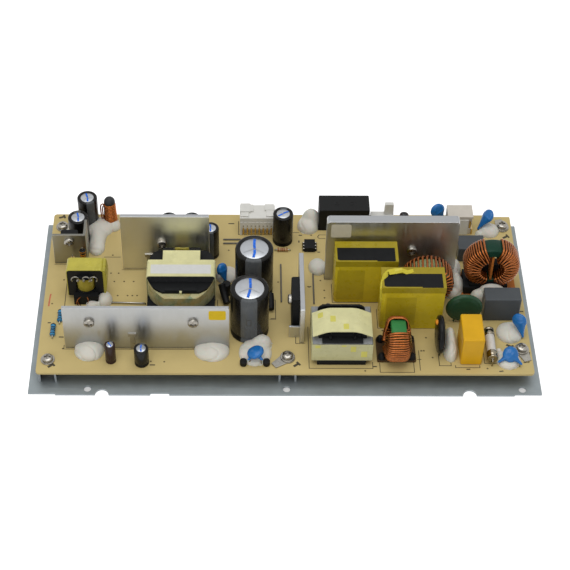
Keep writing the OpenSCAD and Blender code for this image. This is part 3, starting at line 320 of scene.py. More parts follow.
# What each maker is told for each finish: a name, a colour and what differs
FINISHES = {
    # One even colour. The comment on each says what the real surface gives the eye.
    surface: {
        # Sheet steel cut in the press: a pale, finely scored edge where the bare metal shows
        "sheared": ("sheared_steel_edge", 0.4, "#A4A8AA", (0.1, 2), (0.4, 0.02), None, 0.5, 0.3),
        # Phenolic paper laminate under clear mask: warm tan, faintly clouded, with a soft satin sheen
        "laminate": ("board_laminate", 0.45, "board", (0.06, 22), (0.7, 0.008), None, 0.0, 0.22),
        # Screen-printed ink: thin, matt, brown-black, slightly broken up where the mesh left gaps.
        # The real gaps are too fine to show, so they are drawn as patches of 1.5 mm.
        "ink": ("printed_ink", 0.7, "#3B3524", (0.35, 1.5)),
        # Red marker on the board's mask: thin and washed out
        "red_pen": ("red_marker", 0.6, "#BE6A4C", (0.2, 1.5)),
        # Empty lead hole: a flat dark brown disc on the board, painted shade for the hole's depth in the
        # laminate
        "hole": ("drilled_hole", 0.8, "#5A4D2E", (0.2, 0.8)),
        # Nickel-plated steel, cold headed: bright, slightly warm, with small handling marks
        "nickel": ("nickel_plate", 0.25, "#98948C", (0.08, 2), (0.5, 0.01), (0.2, 0.34), 1.0),
        # Hot-tinned copper: soft white metal with a slightly uneven dip
        "tinned": ("tinned_metal", 0.32, "#9A978F", (0.1, 2.5), (0.8, 0.015), (0.25, 0.42), 1.0),
        # Bright nickel on a pressed cap: a mirror that takes its look from what stands round it
        # Its base is a dark warm grey for the dark and brown parts that the caps mirror: painted reflection
        "bright_nickel": ("bright_nickel", 0.14, "#8C8474", (0.1, 2), (1.5, 0.01), (0.1, 0.2), 1.0),
        # Gold-flashed brass, stamped: warm pale gold
        "brass": ("plated_brass", 0.28, "#C7A96B", (0.1, 1.5), (0.5, 0.01), (0.22, 0.36), 1.0),
        # Moulded epoxy or phenolic, charcoal black: matt from the tool, with a fine grain
        "black": ("moulded_black", 0.55, "#1A1B1C", (0.15, 4), (0.45, 0.02), (0.42, 0.56), 0.0, 0.1),
        # Pressed powder core, sealed: near-black and smooth, with faint pressing marks
        "powder": ("powder_core", 0.5, "#161718", (0.15, 5), (0.6, 0.015), (0.34, 0.48), 0.0, 0.1),
        # Drawn aluminium can top: bright silver-grey with a fine turned sheen
        "can": ("drawn_can", 0.34, "#AEB1B5", (0.05, 3), (0.5, 0.008), (0.28, 0.42), 0.9),
        # Scored line in a can top: a flat darker grey strip, painted shade for the pressed groove of the
        # vent
        "score": ("scored_metal", 0.45, "#9C9FA2", (0.08, 1), None, None, 0.8),
        # Blue marker ink on bare metal: strong blue, streaked where the tip ran dry
        "pen": ("pen_ink", 0.5, "#2A6CD6", (0.3, 1.2), None, None, 0.0, 0.2),
        # Pressed fibre sheet: reddish brown, dull, with short flecks
        "fibre": ("pressed_fibre", 0.6, "#B0682A", (0.2, 1.5, (0.4, 1, 1)), (0.5, 0.04), None, 0.0, 0.2),
        # Moulded phenolic base with fibre filler: very dark brown, dull
        "dark_fibre": ("brown_phenolic", 0.55, "#4A3722", (0.18, 2.5), (0.5, 0.03), None, 0.0, 0.15),
        # Fired ceramic tube, unglazed: chalky grey-white
        "ceramic": ("fired_ceramic", 0.55, "#D2CFC8", (0.05, 2), (0.4, 0.03)),
        # Enamelled wire end, dark and dull where flux has run over it
        "dull_wire": ("fluxed_wire", 0.45, "#6B6152", (0.2, 2), (0.8, 0.02), None, 0.4),
        # Coated paper label, bare: white, satin, with a trace of fibre
        "paper": ("coated_paper", 0.5, "#D2D2CF", (0.03, 2), (0.5, 0.01), None, 0.0, 0.25),
        # Blank matt label film, pale grey with a warm cast
        "paper_label": ("blank_label_film", 0.5, "#C2BBA6", (0.04, 3), (0.8, 0.01), None, 0.0, 0.2),
        # Vinyl sticker, plain yellow: flat bright colour with a satin face
        "sticker": ("sticker_film", 0.4, "#DDBB17", (0.05, 4), (1.5, 0.01), None, 0.0, 0.2),
    },
    zinc_sheet: {"zinc": ()},
    wrapped_winding: {"wrap": ()},
    cured_silicone: {"silicone": ()},
    shade_darkened_tin: {"shaded_tin": ()},
    ground_ferrite: {
        "ferrite": ("ground_ferrite", "#323335"),
        "dark_ferrite": ("dark_ground_ferrite", "#1B1C1D"),
        "pale_ferrite": ("pale_ground_ferrite", "#87898A"),
    },
    rolled_aluminium: {
        "bright_sheet": ("bright_aluminium_sheet", "#D8D7CE"),
        "mid_sheet": ("aluminium_sheet", "#C2C3C3"),
        "dull_sheet": ("dull_aluminium_sheet", "#AEAFAE"),
        "worn_sheet": ("worn_aluminium_sheet", "#9A988C", "#787770"),
    },
    polyester_tape: {
        "choke_tape": ("yellow_choke_tape", "choke_tape"),
        "dark_tape": ("thin_choke_tape", ("choke_tape", 0.78)),
        # A darker copy of the choke tape for the tops of the rims: painted shade
        "shaded_top_tape": ("folded_choke_tape", ("choke_tape", 0.56)),
        # A paler copy of the choke tape for the crumpled end: painted highlight on its folds
        "highlit_choke_tape": ("loose_choke_tape", "#D0C23C"),
        "bright_tape": ("bright_inner_tape", "#D0C962"),
        "amber_wrap": ("amber_wrap", "#A89A3A"),
        "cream_tape": ("cream_tape", "cream_tape", 9),
        "belt_tape": ("belt_tape", ("cream_tape", 0.78), 9),
        "standby_tape": ("standby_tape", "standby_tape"),
    },
    enamelled_copper: {
        "copper": ("enamelled_copper", 1.0),
        # A lighter copy of the copper for the rod choke's coil: painted highlight
        "bright_copper": ("bright_enamelled_copper", 1.6),
    },
    epoxy_coat: {
        "dark_green": ("dark_green_epoxy", "#15382A"),
        "bright_green": ("bright_green_epoxy", "#337A41"),
        "pale_green": ("pale_green_epoxy", "#A9B584"),
    },
    dipped_coat: {
        "blue_dip": ("blue_dipped_coat", "disc", 0.8),
        "green_dip": ("green_dipped_coat", "#294A33", 0.5),
        "black_dip": ("black_dipped_coat", "#141414", 0.3),
        "orange_dip": ("orange_dipped_spot", "#D98A2B", 0.3),
        "resistor_dip": ("blue_resistor_coat", "#3F84B0", 0.4),
        "tan_dip": ("tan_resistor_coat", "#B59A6A", 0.4),
        "dark_band": ("dark_band_paint", "#23303A", 0.3),
        "red_band": ("red_band_paint", "#8A3A26", 0.3),
    },
    shrink_sleeve: {
        "sleeve": ("black_shrink_sleeve", "sleeve"),
        "brown_sleeve": ("brown_shrink_sleeve", "#33231F"),
        "stripe": ("grey_sleeve_stripe", "stripe"),
    },
    moulded_case: {
        "yellow_box": ("yellow_capacitor_box", "yellow_box"),
        "grey_box": ("grey_capacitor_box", "grey_box"),
        "jet": ("jet_black_case", "#0C0D0D", 0.5),
        "rubber": ("black_rubber_tube", "#101010", 0.55),
    },
    moulded_nylon: {
        "white_nylon": ("white_nylon", "#DAD9D3"),
        "beige_nylon": ("beige_nylon", "#CFC8BC"),
    },
}
made_finishes = {}


def finish(key):
    """The material of that key, made once."""
    if key not in made_finishes:
        maker = next(maker for maker, members in FINISHES.items() if key in members)
        made_finishes[key] = maker(*FINISHES[maker][key])
    return made_finishes[key]


# Shapes

def spot(x, y, z=0.0):
    """A point given in mm from the middle of the board's top face."""
    return Vector((BOARD_MID.x + x * MM, BOARD_MID.y + y * MM, BOARD_TOP + z * MM))


def at(origin, x=0.0, y=0.0, z=0.0):
    """A point given in mm from an origin."""
    return origin + Vector((x, y, z)) * MM


def scaled(*points):
    """Profile points given in mm."""
    return [(radius * MM, height * MM) for radius, height in points]


def around(first, step, count):
    """Evenly spaced angles in radians, from a first one and a step in degrees."""
    return [radians(first + step * k) for k in range(count)]


def extent(node):
    """The lowest and highest corners of a CAD node and its middle."""
    low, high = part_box(node)
    return low, high, (low + high) / 2


def solids(node):
    """Corner points of each separate solid in a CAD node, from left to right."""
    shell = bmesh.new()
    shell.from_mesh(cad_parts[node].data)
    bmesh.ops.remove_doubles(shell, verts=shell.verts, dist=SAME_POINT)
    left = set(shell.verts)
    found = []
    while left:
        reach = [left.pop()]
        group = []
        while reach:
            vert = reach.pop()
            group.append(vert.co.copy())
            near = {edge.other_vert(vert) for edge in vert.link_edges} & left
            left -= near
            reach.extend(near)
        points = np.array(group)
        found.append((Vector(points.min(0)), Vector(points.max(0))))
    shell.free()
    return sorted(found, key=lambda pair: pair[0].x)


def link(made):
    """Puts a new object into the scene."""
    bpy.context.scene.collection.objects.link(made)


def dress(node, key, edge_mm=0.0):
    """Gives a CAD node its finish, and rounds its edges by a width."""
    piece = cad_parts[node]
    piece.data.materials.clear()
    piece.data.materials.append(finish(key))
    if edge_mm:
        soften(piece, edge_mm * MM)


def soften(piece, edge):
    """Rounds the edges of a piece by a width, with its flat faces left flat to the eye."""
    weld = piece.modifiers.new("weld", "WELD")
    weld.merge_threshold = SAME_POINT
    flat = piece.modifiers.new("flat_faces", "DECIMATE")
    flat.decimate_type = "DISSOLVE"
    flat.angle_limit = radians(0.5)
    bevel = piece.modifiers.new("edges", "BEVEL")
    bevel.width = edge
    bevel.segments = 2
    bevel.limit_method = "ANGLE"
    bevel.angle_limit = EDGE_ANGLE
    bevel.use_clamp_overlap = True
    bevel.harden_normals = True


def add_piece(name, shell, keys, nodes=(), sharp=40):
    """Links a shell as a piece of the board, with its finishes and the solids that it stands for."""
    mesh = bpy.data.meshes.new(name)
    shell.normal_update()
    shell.to_mesh(mesh)
    shell.free()
    for key in keys:
        mesh.materials.append(finish(key))
    mesh.shade_smooth()
    mesh.set_sharp_from_angle(angle=radians(sharp))
    piece = bpy.data.objects.new(name, mesh)
    link(piece)
    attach(piece, BODY)
    if nodes:
        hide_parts(*nodes)
    return piece


def lathe(shell, profile, place=None, segments=48, material=0, stripe=None):
    """Revolves (radius, height) points about Z.

    stripe gives a second material and half the width that it covers, in degrees from -Y."""
    place = place or Matrix.Identity(4)
    rings = []
    for radius, height in profile:
        if radius <= 0:
            rings.append([shell.verts.new(place @ Vector((0, 0, height)))])
            continue
        turn = [2 * pi * k / segments for k in range(segments)]
        rings.append([shell.verts.new(place @ Vector((radius * sin(a), -radius * cos(a), height)))
                      for a in turn])
    for low, high in zip(rings, rings[1:]):
        for k in range(segments):
            n = (k + 1) % segments
            corners = [low[k % len(low)], low[n % len(low)], high[n % len(high)], high[k % len(high)]]
            unique = list(dict.fromkeys(corners))
            if len(unique) < 3:
                continue
            face = shell.faces.new(unique)
            middle = 360 * (k + 0.5) / segments
            face.material_index = material
            if stripe and min(middle, 360 - middle) <= stripe[1]:
                face.material_index = stripe[0]


def wall_patch(shell, place, radius, angles, heights, material):
    """A small patch that lies on a round wall, between two angles from -Y and two heights."""
    steps = max(2, int(abs(angles[1] - angles[0]) / 3) + 1)
    last = None
    for k in range(steps):
        a = radians(angles[0] + (angles[1] - angles[0]) * k / (steps - 1))
        x = radius * sin(a)
        y = -radius * cos(a)
        pair = [shell.verts.new(place @ Vector((x, y, z))) for z in heights]
        if last:
            shell.faces.new((last[0], pair[0], pair[1], last[1])).material_index = material
        last = pair


def round_corner(radius, height, bend, steps=4):
    """Profile points of a rounded outer top corner, from the wall to the top."""
    return [(radius - bend + bend * cos(a), height - bend + bend * sin(a))
            for a in (pi / 2 * k / steps for k in range(steps + 1))]


def tube(shell, points, radius, sides=10, material=0):
    """A round wire along points, with frames carried along the path and closed ends."""
    count = len(points)
    ring = None
    up = None
    for i, point in enumerate(points):
        ahead = (points[min(i + 1, count - 1)] - points[max(i - 1, 0)]).normalized()
        if up is None:
            up = ahead.orthogonal().normalized()
        up = (up - ahead * up.dot(ahead)).normalized()
        side = ahead.cross(up)
        made = [shell.verts.new(point + radius * (cos(a) * up + sin(a) * side))
                for a in (2 * pi * k / sides for k in range(sides))]
        if ring:
            for k in range(sides):
                n = (k + 1) % sides
                shell.faces.new((ring[k], ring[n], made[n], made[k])).material_index = material
        else:
            shell.faces.new(made[::-1]).material_index = material
        ring = made
    shell.faces.new(ring).material_index = material


def wire(shell, origin, run, radius_mm, sides=8, material=0):
    """A round wire along points given in mm from an origin."""
    tube(shell, [at(origin, *point) for point in run], radius_mm * MM, sides, material)


def block(shell, low, high, material=0):
    """An upright box between two corners."""
    corners = [shell.verts.new((x, y, z))
               for z in (low.z, high.z) for y in (low.y, high.y) for x in (low.x, high.x)]
    for face in ((0, 2, 3, 1), (4, 5, 7, 6), (0, 1, 5, 4), (1, 3, 7, 5), (3, 2, 6, 7), (2, 0, 4, 6)):
        shell.faces.new([corners[i] for i in face]).material_index = material


def bars(shell, origin, *spans):
    """Upright boxes, each by where it starts and ends along X, Y and Z, in mm from an origin."""
    for x0, x1, y0, y1, z0, z1 in spans:
        block(shell, at(origin, x0, y0, z0), at(origin, x1, y1, z1))


def rounded(corners, bend, steps=4):
    """Outline in mm with the corners of a polygon rounded, by one radius or by one for each corner."""
    points = []
    for i, corner in enumerate(corners):
        here = Vector(corner)
        radius = bend[i] if isinstance(bend, tuple) else bend
        before = here + (Vector(corners[i - 1]) - here).normalized() * radius
        after = here + (Vector(corners[(i + 1) % len(corners)]) - here).normalized() * radius
        for t in ((k / steps for k in range(steps + 1)) if radius else (0,)):
            points.append((1 - t) ** 2 * before + 2 * t * (1 - t) * here + t * t * after)
    return points


def oblong(x0, y0, x1, y1, bend):
    """Outline of a rectangle with rounded corners, in mm."""
    return rounded(((x0, y0), (x1, y0), (x1, y1), (x0, y1)), bend)


def upright(point):
    """Placing matrix of a flat piece that faces the front: its X to the right, its Y upward."""
    return Matrix.Translation(point) @ Matrix.Rotation(pi / 2, 4, "X")


def sheet(shell, outline, place, thick, material=0):
    """A flat piece: an outline in mm, placed, and made thick along its own Z."""
    low, high = [[shell.verts.new(place @ (Vector((*p, z)) * MM)) for p in outline] for z in (0, thick)]
    sides = [(low[k - 1], low[k], high[k], high[k - 1]) for k in range(len(low))]
    for corners in [low[::-1], high] + sides:
        shell.faces.new(corners).material_index = material


def ribbon(shell, points, width, material=0):
    """A flat strip along level points."""
    last = None
    for i, point in enumerate(points):
        ahead = (points[min(i + 1, len(points) - 1)] - points[max(i - 1, 0)]).normalized()
        side = Vector((-ahead.y, ahead.x, 0)) * width / 2
        pair = (shell.verts.new(point + side), shell.verts.new(point - side))
        if last:
            shell.faces.new((last[0], last[1], pair[1], pair[0])).material_index = material
        last = pair


def blob(shell, middle, half, turn=None):
    """A rounded lump with its three half widths in mm, to be melted with others."""
    place = Matrix.Translation(middle) @ (turn or Matrix.Identity(4)) @ Matrix.Diagonal((*half, 1))
    bmesh.ops.create_icosphere(shell, subdivisions=3, radius=MM, matrix=place)


def bend_edges(shell, width_mm):
    """Rounds every edge of a shell of plain blocks by a width."""
    edges = [edge for edge in shell.edges if edge.calc_face_angle(0) > EDGE_ANGLE]
    bmesh.ops.bevel(shell, geom=edges, offset=width_mm * MM, segments=2, affect="EDGES", clamp_overlap=True)


def bar_piece(name, origin, spans, bend_mm, key, nodes=()):
    """A piece of upright boxes with rounded edges, placed from an origin."""
    shell = bmesh.new()
    bars(shell, origin, *spans)
    bend_edges(shell, bend_mm)
    add_piece(name, shell, [key], nodes)


def scratch(shell):
    """A shell as an object that modifiers can work on, and that formed() takes away again."""
    mesh = bpy.data.meshes.new("scratch")
    shell.to_mesh(mesh)
    shell.free()
    piece = bpy.data.objects.new("scratch", mesh)
    link(piece)
    return piece


def formed(piece, *tools):
    """The shell that an object's modifiers give; the object and the tools that it used are removed."""
    made = bmesh.new()
    made.from_object(piece, bpy.context.evaluated_depsgraph_get())
    for used in (piece, *tools):
        bpy.data.objects.remove(used)
    return made


def melt(shell, grid, rounds, floor=None):
    """Joins touching lumps into one skin on a fine grid, evens it out, and cuts it flat at a level."""
    piece = scratch(shell)
    skin = piece.modifiers.new("skin", "REMESH")
    skin.mode = "VOXEL"
    skin.voxel_size = grid
    even = piece.modifiers.new("even", "SMOOTH")
    even.iterations = rounds
    made = formed(piece)
    if floor is not None:
        parts = made.verts[:] + made.edges[:] + made.faces[:]
        bmesh.ops.bisect_plane(made, geom=parts, plane_co=(0, 0, floor), plane_no=(0, 0, 1),
                               clear_inner=True)
        bmesh.ops.holes_fill(made, edges=[e for e in made.edges if e.is_boundary])
    return made


def push(shell, amount):
    """Moves each point along its normal, by an amount that follows from its place."""
    shell.normal_update()
    moves = [v.normal * amount(v.co) for v in shell.verts]
    for vert, move in zip(shell.verts, moves):
        vert.co += move


def ripple(shell, depth_mm, reach_mm):
    """Uneven swells of seeded noise, so that a soft form isn't perfect."""
    push(shell, lambda co: depth_mm * MM * noise.noise(co / (reach_mm * MM)))


def crease(shell, depth_mm, reach_mm):
    """Narrow folds pressed into a soft form, along the lines where seeded noise is zero."""
    push(shell, lambda co: -depth_mm * MM * exp(-(noise.noise(co / (reach_mm * MM)) / FOLD_WIDTH) ** 2))


def loft(shell, rows, closed=False):
    """A skin over rows of points; a closed one joins each row's ends and fills the first and last row."""
    rows = [[shell.verts.new(point) for point in row] for row in rows]
    wide = len(rows[0])
    for a, b in zip(rows, rows[1:]):
        for k in range(wide if closed else wide - 1):
            n = (k + 1) % wide
            shell.faces.new((a[k], b[k], b[n], a[n]))
    if closed:
        shell.faces.new(rows[0])
        shell.faces.new(rows[-1][::-1])
    bmesh.ops.recalc_face_normals(shell, faces=shell.faces)


def ring_path(ring, gauge, turns, first, last, layers=1, lag=(0, 0), swell=0.0, loose=0.0, bow=0.0,
              per_corner=6, gap=0.15):
    """Points of a winding round a ring core [inner radius, outer radius, half width] in mm, axis along Z.

    Inside the ring the turns take layers by turns; lag sets a strand back by degrees, outside and inside.
    swell widens the winding towards its first turns and bow rounds its outer corners, in mm, and loose
    shifts each turn at random, in degrees."""
    wander = random.Random(turns)
    shifts = [wander.uniform(-loose, loose) for _ in range(turns + 1)]
    off = gauge / 2 + gap
    per_turn = 4 * per_corner
    count = turns * per_turn + 2 * per_corner - 1
    points = []
    for i in range(count + 1):
        turn, step = divmod(i, per_turn)
        corner, step = divmod(step, per_corner)
        a = radians(corner * 90 + step * 90 / (per_corner - 1))
        inner = corner in (1, 2)
        layer = gauge * (turn % layers) if inner else 0
        bend = 0 if inner else bow
        rho = (ring[0] - layer if inner else ring[1] - bend) + (off + bend) * cos(a)
        wide = ring[2] + layer + swell * (1 - i / count) - bend
        z = (1 if corner < 2 else -1) * wide + (off + bend) * sin(a)
        phi = radians(first + (last - first) * i / count + lag[inner] + shifts[turn])
        points.append(Vector((rho * cos(phi), rho * sin(phi), z)) * MM)
    return points


def standing(centre, along):
    """Placing matrix of a ring on edge, with its axis along X or -Y."""
    turn = Matrix.Rotation(pi / 2, 4, "X")
    if along == "X":
        turn = Matrix.Rotation(pi / 2, 4, "Z") @ turn
    return Matrix.Translation(centre) @ turn


# Operators

class DressCarrier(bpy.types.Operator):
    """Finishes the base plate, the circuit board and the fibre pad, and forms two bridge ends"""
    bl_idname = "supply.carrier"
    bl_label = "Base plate and board"

    # Front ends of the two bridges that show under the board: middle, and how far they reach ahead, in mm
    BRIDGES = ((-133.8, -59, 3.4), (1.5, -57.1, 4.7))
    # A bridge's cross-section in mm above the plate's underside, and how thick its sheared face is drawn
    PROFILE = ((-5.1, 1), (-4, 1), (-3.8, 8), (3.8, 8), (4, 1), (5.1, 1), (4.9, 8.95),
               (-4.9, 8.95))
    SHEARED = 0.05
    # Middles of the round notches in the plate's front edge, their radius and half the width of their edge
    NOTCHES = (-102.9, 103.9)
    NOTCH_R = 4.0
    NOTCH_EDGE = 0.16

    def execute(self, context):
        for node, key in (("base_plate", "zinc"), ("circuit_board", "laminate")):
            dress(node, key, sizes().edge / MM)
        dress("insulating_pad", "fibre")
        shell = bmesh.new()
        for x, y, ahead in self.BRIDGES:
            foot = Vector((*spot(x, y).xy, 0))
            sheet(shell, self.PROFILE, upright(foot), ahead)
            sheet(shell, self.PROFILE, upright(at(foot, y=-ahead)), self.SHEARED, 1)
        front = Vector((0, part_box("base_plate")[0].y, PLATE_TOP))
        for x in self.NOTCHES:
            arc = [(x + self.NOTCH_R * cos(a), self.NOTCH_R * sin(a), 0) for a in around(6, 8, 22)]
            wire(shell, front, arc, self.NOTCH_EDGE, 6, 1)
        add_piece("bridge_ends", shell, ["zinc", "sheared"])
        return {"FINISHED"}


class PrintBoard(bpy.types.Operator):
    """Prints outlines and marks on the board, and lays a dark disc of painted shade for each spare hole"""
    bl_idname = "supply.board_print"
    bl_label = "Board print"

    # Printed outlines as runs of points on the board
    OUTLINES = (
        ((-125.4, -43.4), (-125.4, -46.3), (-32.4, -46.3), (-32.4, -43.4)), ((-107, 27), (-97.4, 27)),
        ((-95.8, 16.4), (-42.8, 16.4)), ((24.4, 13), (24.4, 8.9), (103.4, 8.9)), ((28.4, 5), (28.4, -9.6),
        (55.6, -9.6)), ((53.8, -15), (53.8, -29.8), (91.4, -29.8)), ((13.6, -29), (13.6, -60.2),
        (49.4, -60.2), (49.4, -55.6)), ((53.4, -56.4), (53.4, -63), (72.6, -63), (72.6, -30)), ((87, -50.6),
        (87, -58), (93.6, -58), (93.6, -55.6)), ((96, -57.8), (96, -59.4), (109.6, -59.4), (109.6, -57.8)),
        ((76, -46.8), (76, -61.4)), ((75, -53.4), (77, -53.4)), ((112.6, -44), (112.6, -56.2),
        (121, -56.2)), ((6.4, -34), (6.4, -41.6), (11.6, -41.6)), ((-26.6, 58), (-26.6, 46.6), (-4, 46.6)),
        ((-136.2, 20.9), (-116.4, 20.9)), ((-38.6, -8), (-38.6, -22)), ((-8.2, -8), (-4.8, -8), (-4.8, -23),
        (-8.2, -23)), ((10, 48.4), (6, 48.4)), ((29, 46.4), (22.4, 46.4), (21.4, 44.6), (22.4, 43.2),
        (26, 43.2)), ((-127.6, -16), (-127.6, 12)), ((134.6, -48), (139, -48), (137.6, -55.6),
        (134.6, -55.6)))
    # Short printed bars: middle, length and turn
    BARS = (
        (-130.6, -18.4, 1.6, 0), (-135.4, -26.2, 1.8, 0), (-127.6, -37.2, 2.8, 0), (-74.6, -58, 3, 0),
        (-31, 56, 3.6, 0), (50.6, -58.8, 2.2, 0), (103, -60.6, 2.2, 0), (138, -16.4, 2.2, 0),
        (121.4, -62, 2.4, 10), (-35.2, -37, 2, 0), (11, 46, 2, 0), (10, 40.6, 1.8, 90),
        (21.8, 31.6, 1.6, 0), (15.6, 2.8, 1.8, 20), (77.6, -47, 1.2, 0), (-101.4, -47.6, 2.6, 0),
        (-6.4, -22.8, 2.6, 0))
    # Tool marks beside the screws: middle and turn
    MARKS = (
        (-131.4, -58.4, 38), (6.8, -57.4, 38), (-134.6, 61.4, 20), (128.4, -43.4, -30), (136, 45.2, 30))
    # Spare holes, and their radius
    HOLES = (
        (-102.2, 13.6), (-97.6, 13.6), (-99.8, 6.8), (-94, 6.8), (-88.4, 6.8), (-129.6, 8), (-97.2, -4.6),
        (-91.4, -4.6), (-85.8, -4.6), (-135, -11.2), (-102, 28.6), (-32.4, 33), (-3, 6.6), (17.6, 46),
        (14.6, 3), (79, -46.9), (83.6, -52), (-68, -55.6), (-75.6, -55.4), (111, 20), (-126, -46),
        (-88.6, -4.6), (56.4, -31.6), (24, 0), (24, -6), (22, 8), (45, -62), (81, -37), (113.8, -60),
        (134, -20.6))
    HOLE_R = 0.55
    # Heights in mm that the layers of print lie at
    LINE_Z = 0.03
    BAR_Z = 0.04
    MARK_Z = 0.05
    # The pen's stroke: where it starts, and its width
    STROKE = (-136.4, -3.4)
    STROKE_W = 0.9 * MM

    def execute(self, context):
        shell = bmesh.new()
        line = sizes().print_line
        for run in self.OUTLINES:
            for ends in zip(run, run[1:]):
                first, last = (spot(*end, self.LINE_Z) for end in ends)
                way = (last - first).normalized() * line / 2
                ribbon(shell, [first - way, last + way], line)
        for x, y, long, turn in self.BARS:
            way = Matrix.Rotation(radians(turn), 3, "Z") @ Vector((long * MM / 2, 0, 0))
            ribbon(shell, [spot(x, y, self.BAR_Z) - way, spot(x, y, self.BAR_Z) + way], 2 * line)
        for x, y, turn in self.MARKS:
            way = Matrix.Rotation(radians(turn), 3, "Z") @ Vector((MM, 0, 0))
            across = Vector((-way.y, way.x, 0))
            middle = spot(x, y, self.MARK_Z)
            head = middle + 1.1 * way
            ribbon(shell, [middle - 2.4 * way, middle + 0.6 * way], 1.5 * MM)
            ribbon(shell, [head - 1.6 * across, head + 1.6 * across], 1.2 * MM)
        # Spare holes are flat dark discs, not cut: painted shade
        for x, y in self.HOLES:
            lathe(shell, scaled((self.HOLE_R, 0), (0, 0)), Matrix.Translation(spot(x, y, self.BAR_Z)), 12, 1)
        add_piece("board_print", shell, ["ink", "hole"])
        shell = bmesh.new()
        x, y = self.STROKE
        stroke = [spot(x - 0.1 * k + 0.05 * k * k / 9, y - 1.1 * k, self.MARK_Z) for k in range(10)]
        ribbon(shell, stroke, self.STROKE_W)
        add_piece("check_stroke", shell, ["red_pen"])
        return {"FINISHED"}


class MakeFasteners(bpy.types.Operator):
    """Forms the cross-head screws and finishes washers and lugs"""
    bl_idname = "supply.fasteners"
    bl_label = "Screws, washers and lugs"

    HEAD_H = 2.2 * MM
    # The head's radius as a share of its washer's; its dome and the recess's floor as shares of its height
    HEAD_R = 0.75
    CROWN = 0.38
    FLOOR = 0.45
    # The recess's reach and half width as shares of the head's radius
    RECESS = 0.62
    SLOT = 0.2

    def execute(self, context):
        washer_low, washer_high = solids("board_washers")[0]
        pattern = self.screw_head((washer_high.x - washer_low.x) / 2 * self.HEAD_R)
        shell = bmesh.new()
        for low, high in solids("board_screws"):
            middle = (low + high) / 2
            self.copy(shell, pattern, Matrix.Translation((middle.x, middle.y, high.z - self.HEAD_H)))
        add_piece("board_screw_heads", shell, ["nickel"], ["board_screws"])
        shell = bmesh.new()
        for low, high in solids("heatsink_screws"):
            seat = (low + high) / 2
            if high.y - low.y > high.x - low.x:
                seat.y = low.y + self.HEAD_H
                turn = Matrix.Rotation(pi / 2, 4, "X")
            else:
                seat.x = low.x + self.HEAD_H
                turn = Matrix.Rotation(-pi / 2, 4, "Y")
            self.copy(shell, pattern, Matrix.Translation(seat) @ turn)
        add_piece("heatsink_screw_heads", shell, ["nickel"], ["heatsink_screws"])
        pattern.free()
        dress("board_washers", "nickel", 0.15)
        dress("ground_lugs", "tinned", 0.12)
        return {"FINISHED"}

    def screw_head(self, radius):
        """A domed head with a cross recess, its underside on z = 0."""
        shell = bmesh.new()
        height = self.HEAD_H
        crown = self.CROWN * height
        wall = height - crown
        dome = [(radius * cos(a), wall + crown * sin(a)) for a in around(18, 18, 4)]
        lathe(shell, [(0, 0), (radius, 0), (radius, wall), *dome, (0, height)], segments=32)
        head = scratch(shell)
        shell = bmesh.new()
        long = self.RECESS * radius
        wide = self.SLOT * radius
        for x, y in ((long, wide), (wide, long)):
            block(shell, Vector((-x, -y, self.FLOOR * height)), Vector((x, y, 2 * height)))
        cutter = scratch(shell)
        cut = head.modifiers.new("recess", "BOOLEAN")
        cut.object = cutter
        cut.use_self = True
        return formed(head, cutter)

    def copy(self, shell, pattern, place):
        """Adds a placed copy of a pattern to a shell."""
        verts = [shell.verts.new(place @ v.co) for v in pattern.verts]
        pattern.verts.index_update()
        for face in pattern.faces:
            shell.faces.new([verts[v.index] for v in face.verts])


class DressHeatsinks(bpy.types.Operator):
    """Finishes the heatsinks and the devices on them, sets two solder tags and adds the plain stickers"""
    bl_idname = "supply.heatsinks"
    bl_label = "Heatsinks and devices"

    # How far a solder tag stands in front of its heatsink, and the distances that tell its points apart
    TAG = 0.8 * MM
    TAG_ONLY = 0.2 * MM
    NEAR = 0.05 * MM
    TOUCH = 0.01 * MM
    # Each heatsink with its tag moved aside: node, finish and distance in mm
    TAGGED = (("output_heatsink", "bright_sheet", 3.8), ("front_heatsink", "dull_sheet", 2))

    def execute(self, context):
        for node, key in (("input", "mid_sheet"), ("switch", "mid_sheet"), ("regulator", "worn_sheet")):
            dress(node + "_heatsink", key, sizes().edge / MM)
        for node, key, aside in self.TAGGED:
            self.set_tag(node, key, aside * MM)
        for node in ("power_devices", "switch_transistor", "bridge_rectifier"):
            dress(node, "black", 0.2)
        dress("device_leads", "tinned")
        self.sticker("front_sticker", "front_heatsink", self.TAG, (81.6, 24.2), (9.6, 7.4), "sticker")
        self.sticker("input_sticker", "input_heatsink", 0, (2.4, 34.6), (11.6, 10.2), "paper_label")
        return {"FINISHED"}

    def set_tag(self, node, key, aside):
        """A heatsink of the solid's own form, with its solder tag moved aside by a distance and tinned."""
        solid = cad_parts[node]
        shell = bmesh.new()
        shell.from_mesh(solid.data)
        bmesh.ops.transform(shell, matrix=solid.matrix_world, verts=shell.verts)
        bmesh.ops.remove_doubles(shell, verts=shell.verts, dist=SAME_POINT)
        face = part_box(node)[0].y + self.TAG
        tag = [vert.co for vert in shell.verts if vert.co.y < face - self.TAG_ONLY]
        left = min(co.x for co in tag) - self.TOUCH
        right = max(co.x for co in tag) + self.TOUCH
        top = max(co.z for co in tag) + self.TOUCH
        for side in shell.faces:
            side.material_index = 1 if side.calc_center_median().y < face - self.NEAR else 0
        for vert in shell.verts:
            if left < vert.co.x < right and vert.co.y < face + self.NEAR and vert.co.z < top:
                vert.co.x += aside
        piece = add_piece(node + "_sheet", shell, [key, "tinned"], [node])
        piece.data.shade_flat()
        soften(piece, sizes().edge)

    def sticker(self, name, node, behind, corner, size, key):
        """A plain rounded sticker, placed from the lower left corner of a heatsink's front face."""
        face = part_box(node)[0] + Vector((0, behind, 0))
        shell = bmesh.new()
        sheet(shell, oblong(0, 0, *size, 1.2), upright(at(face, corner[0], 0, corner[1])), 0.06)
        add_piece(name, shell, [key])


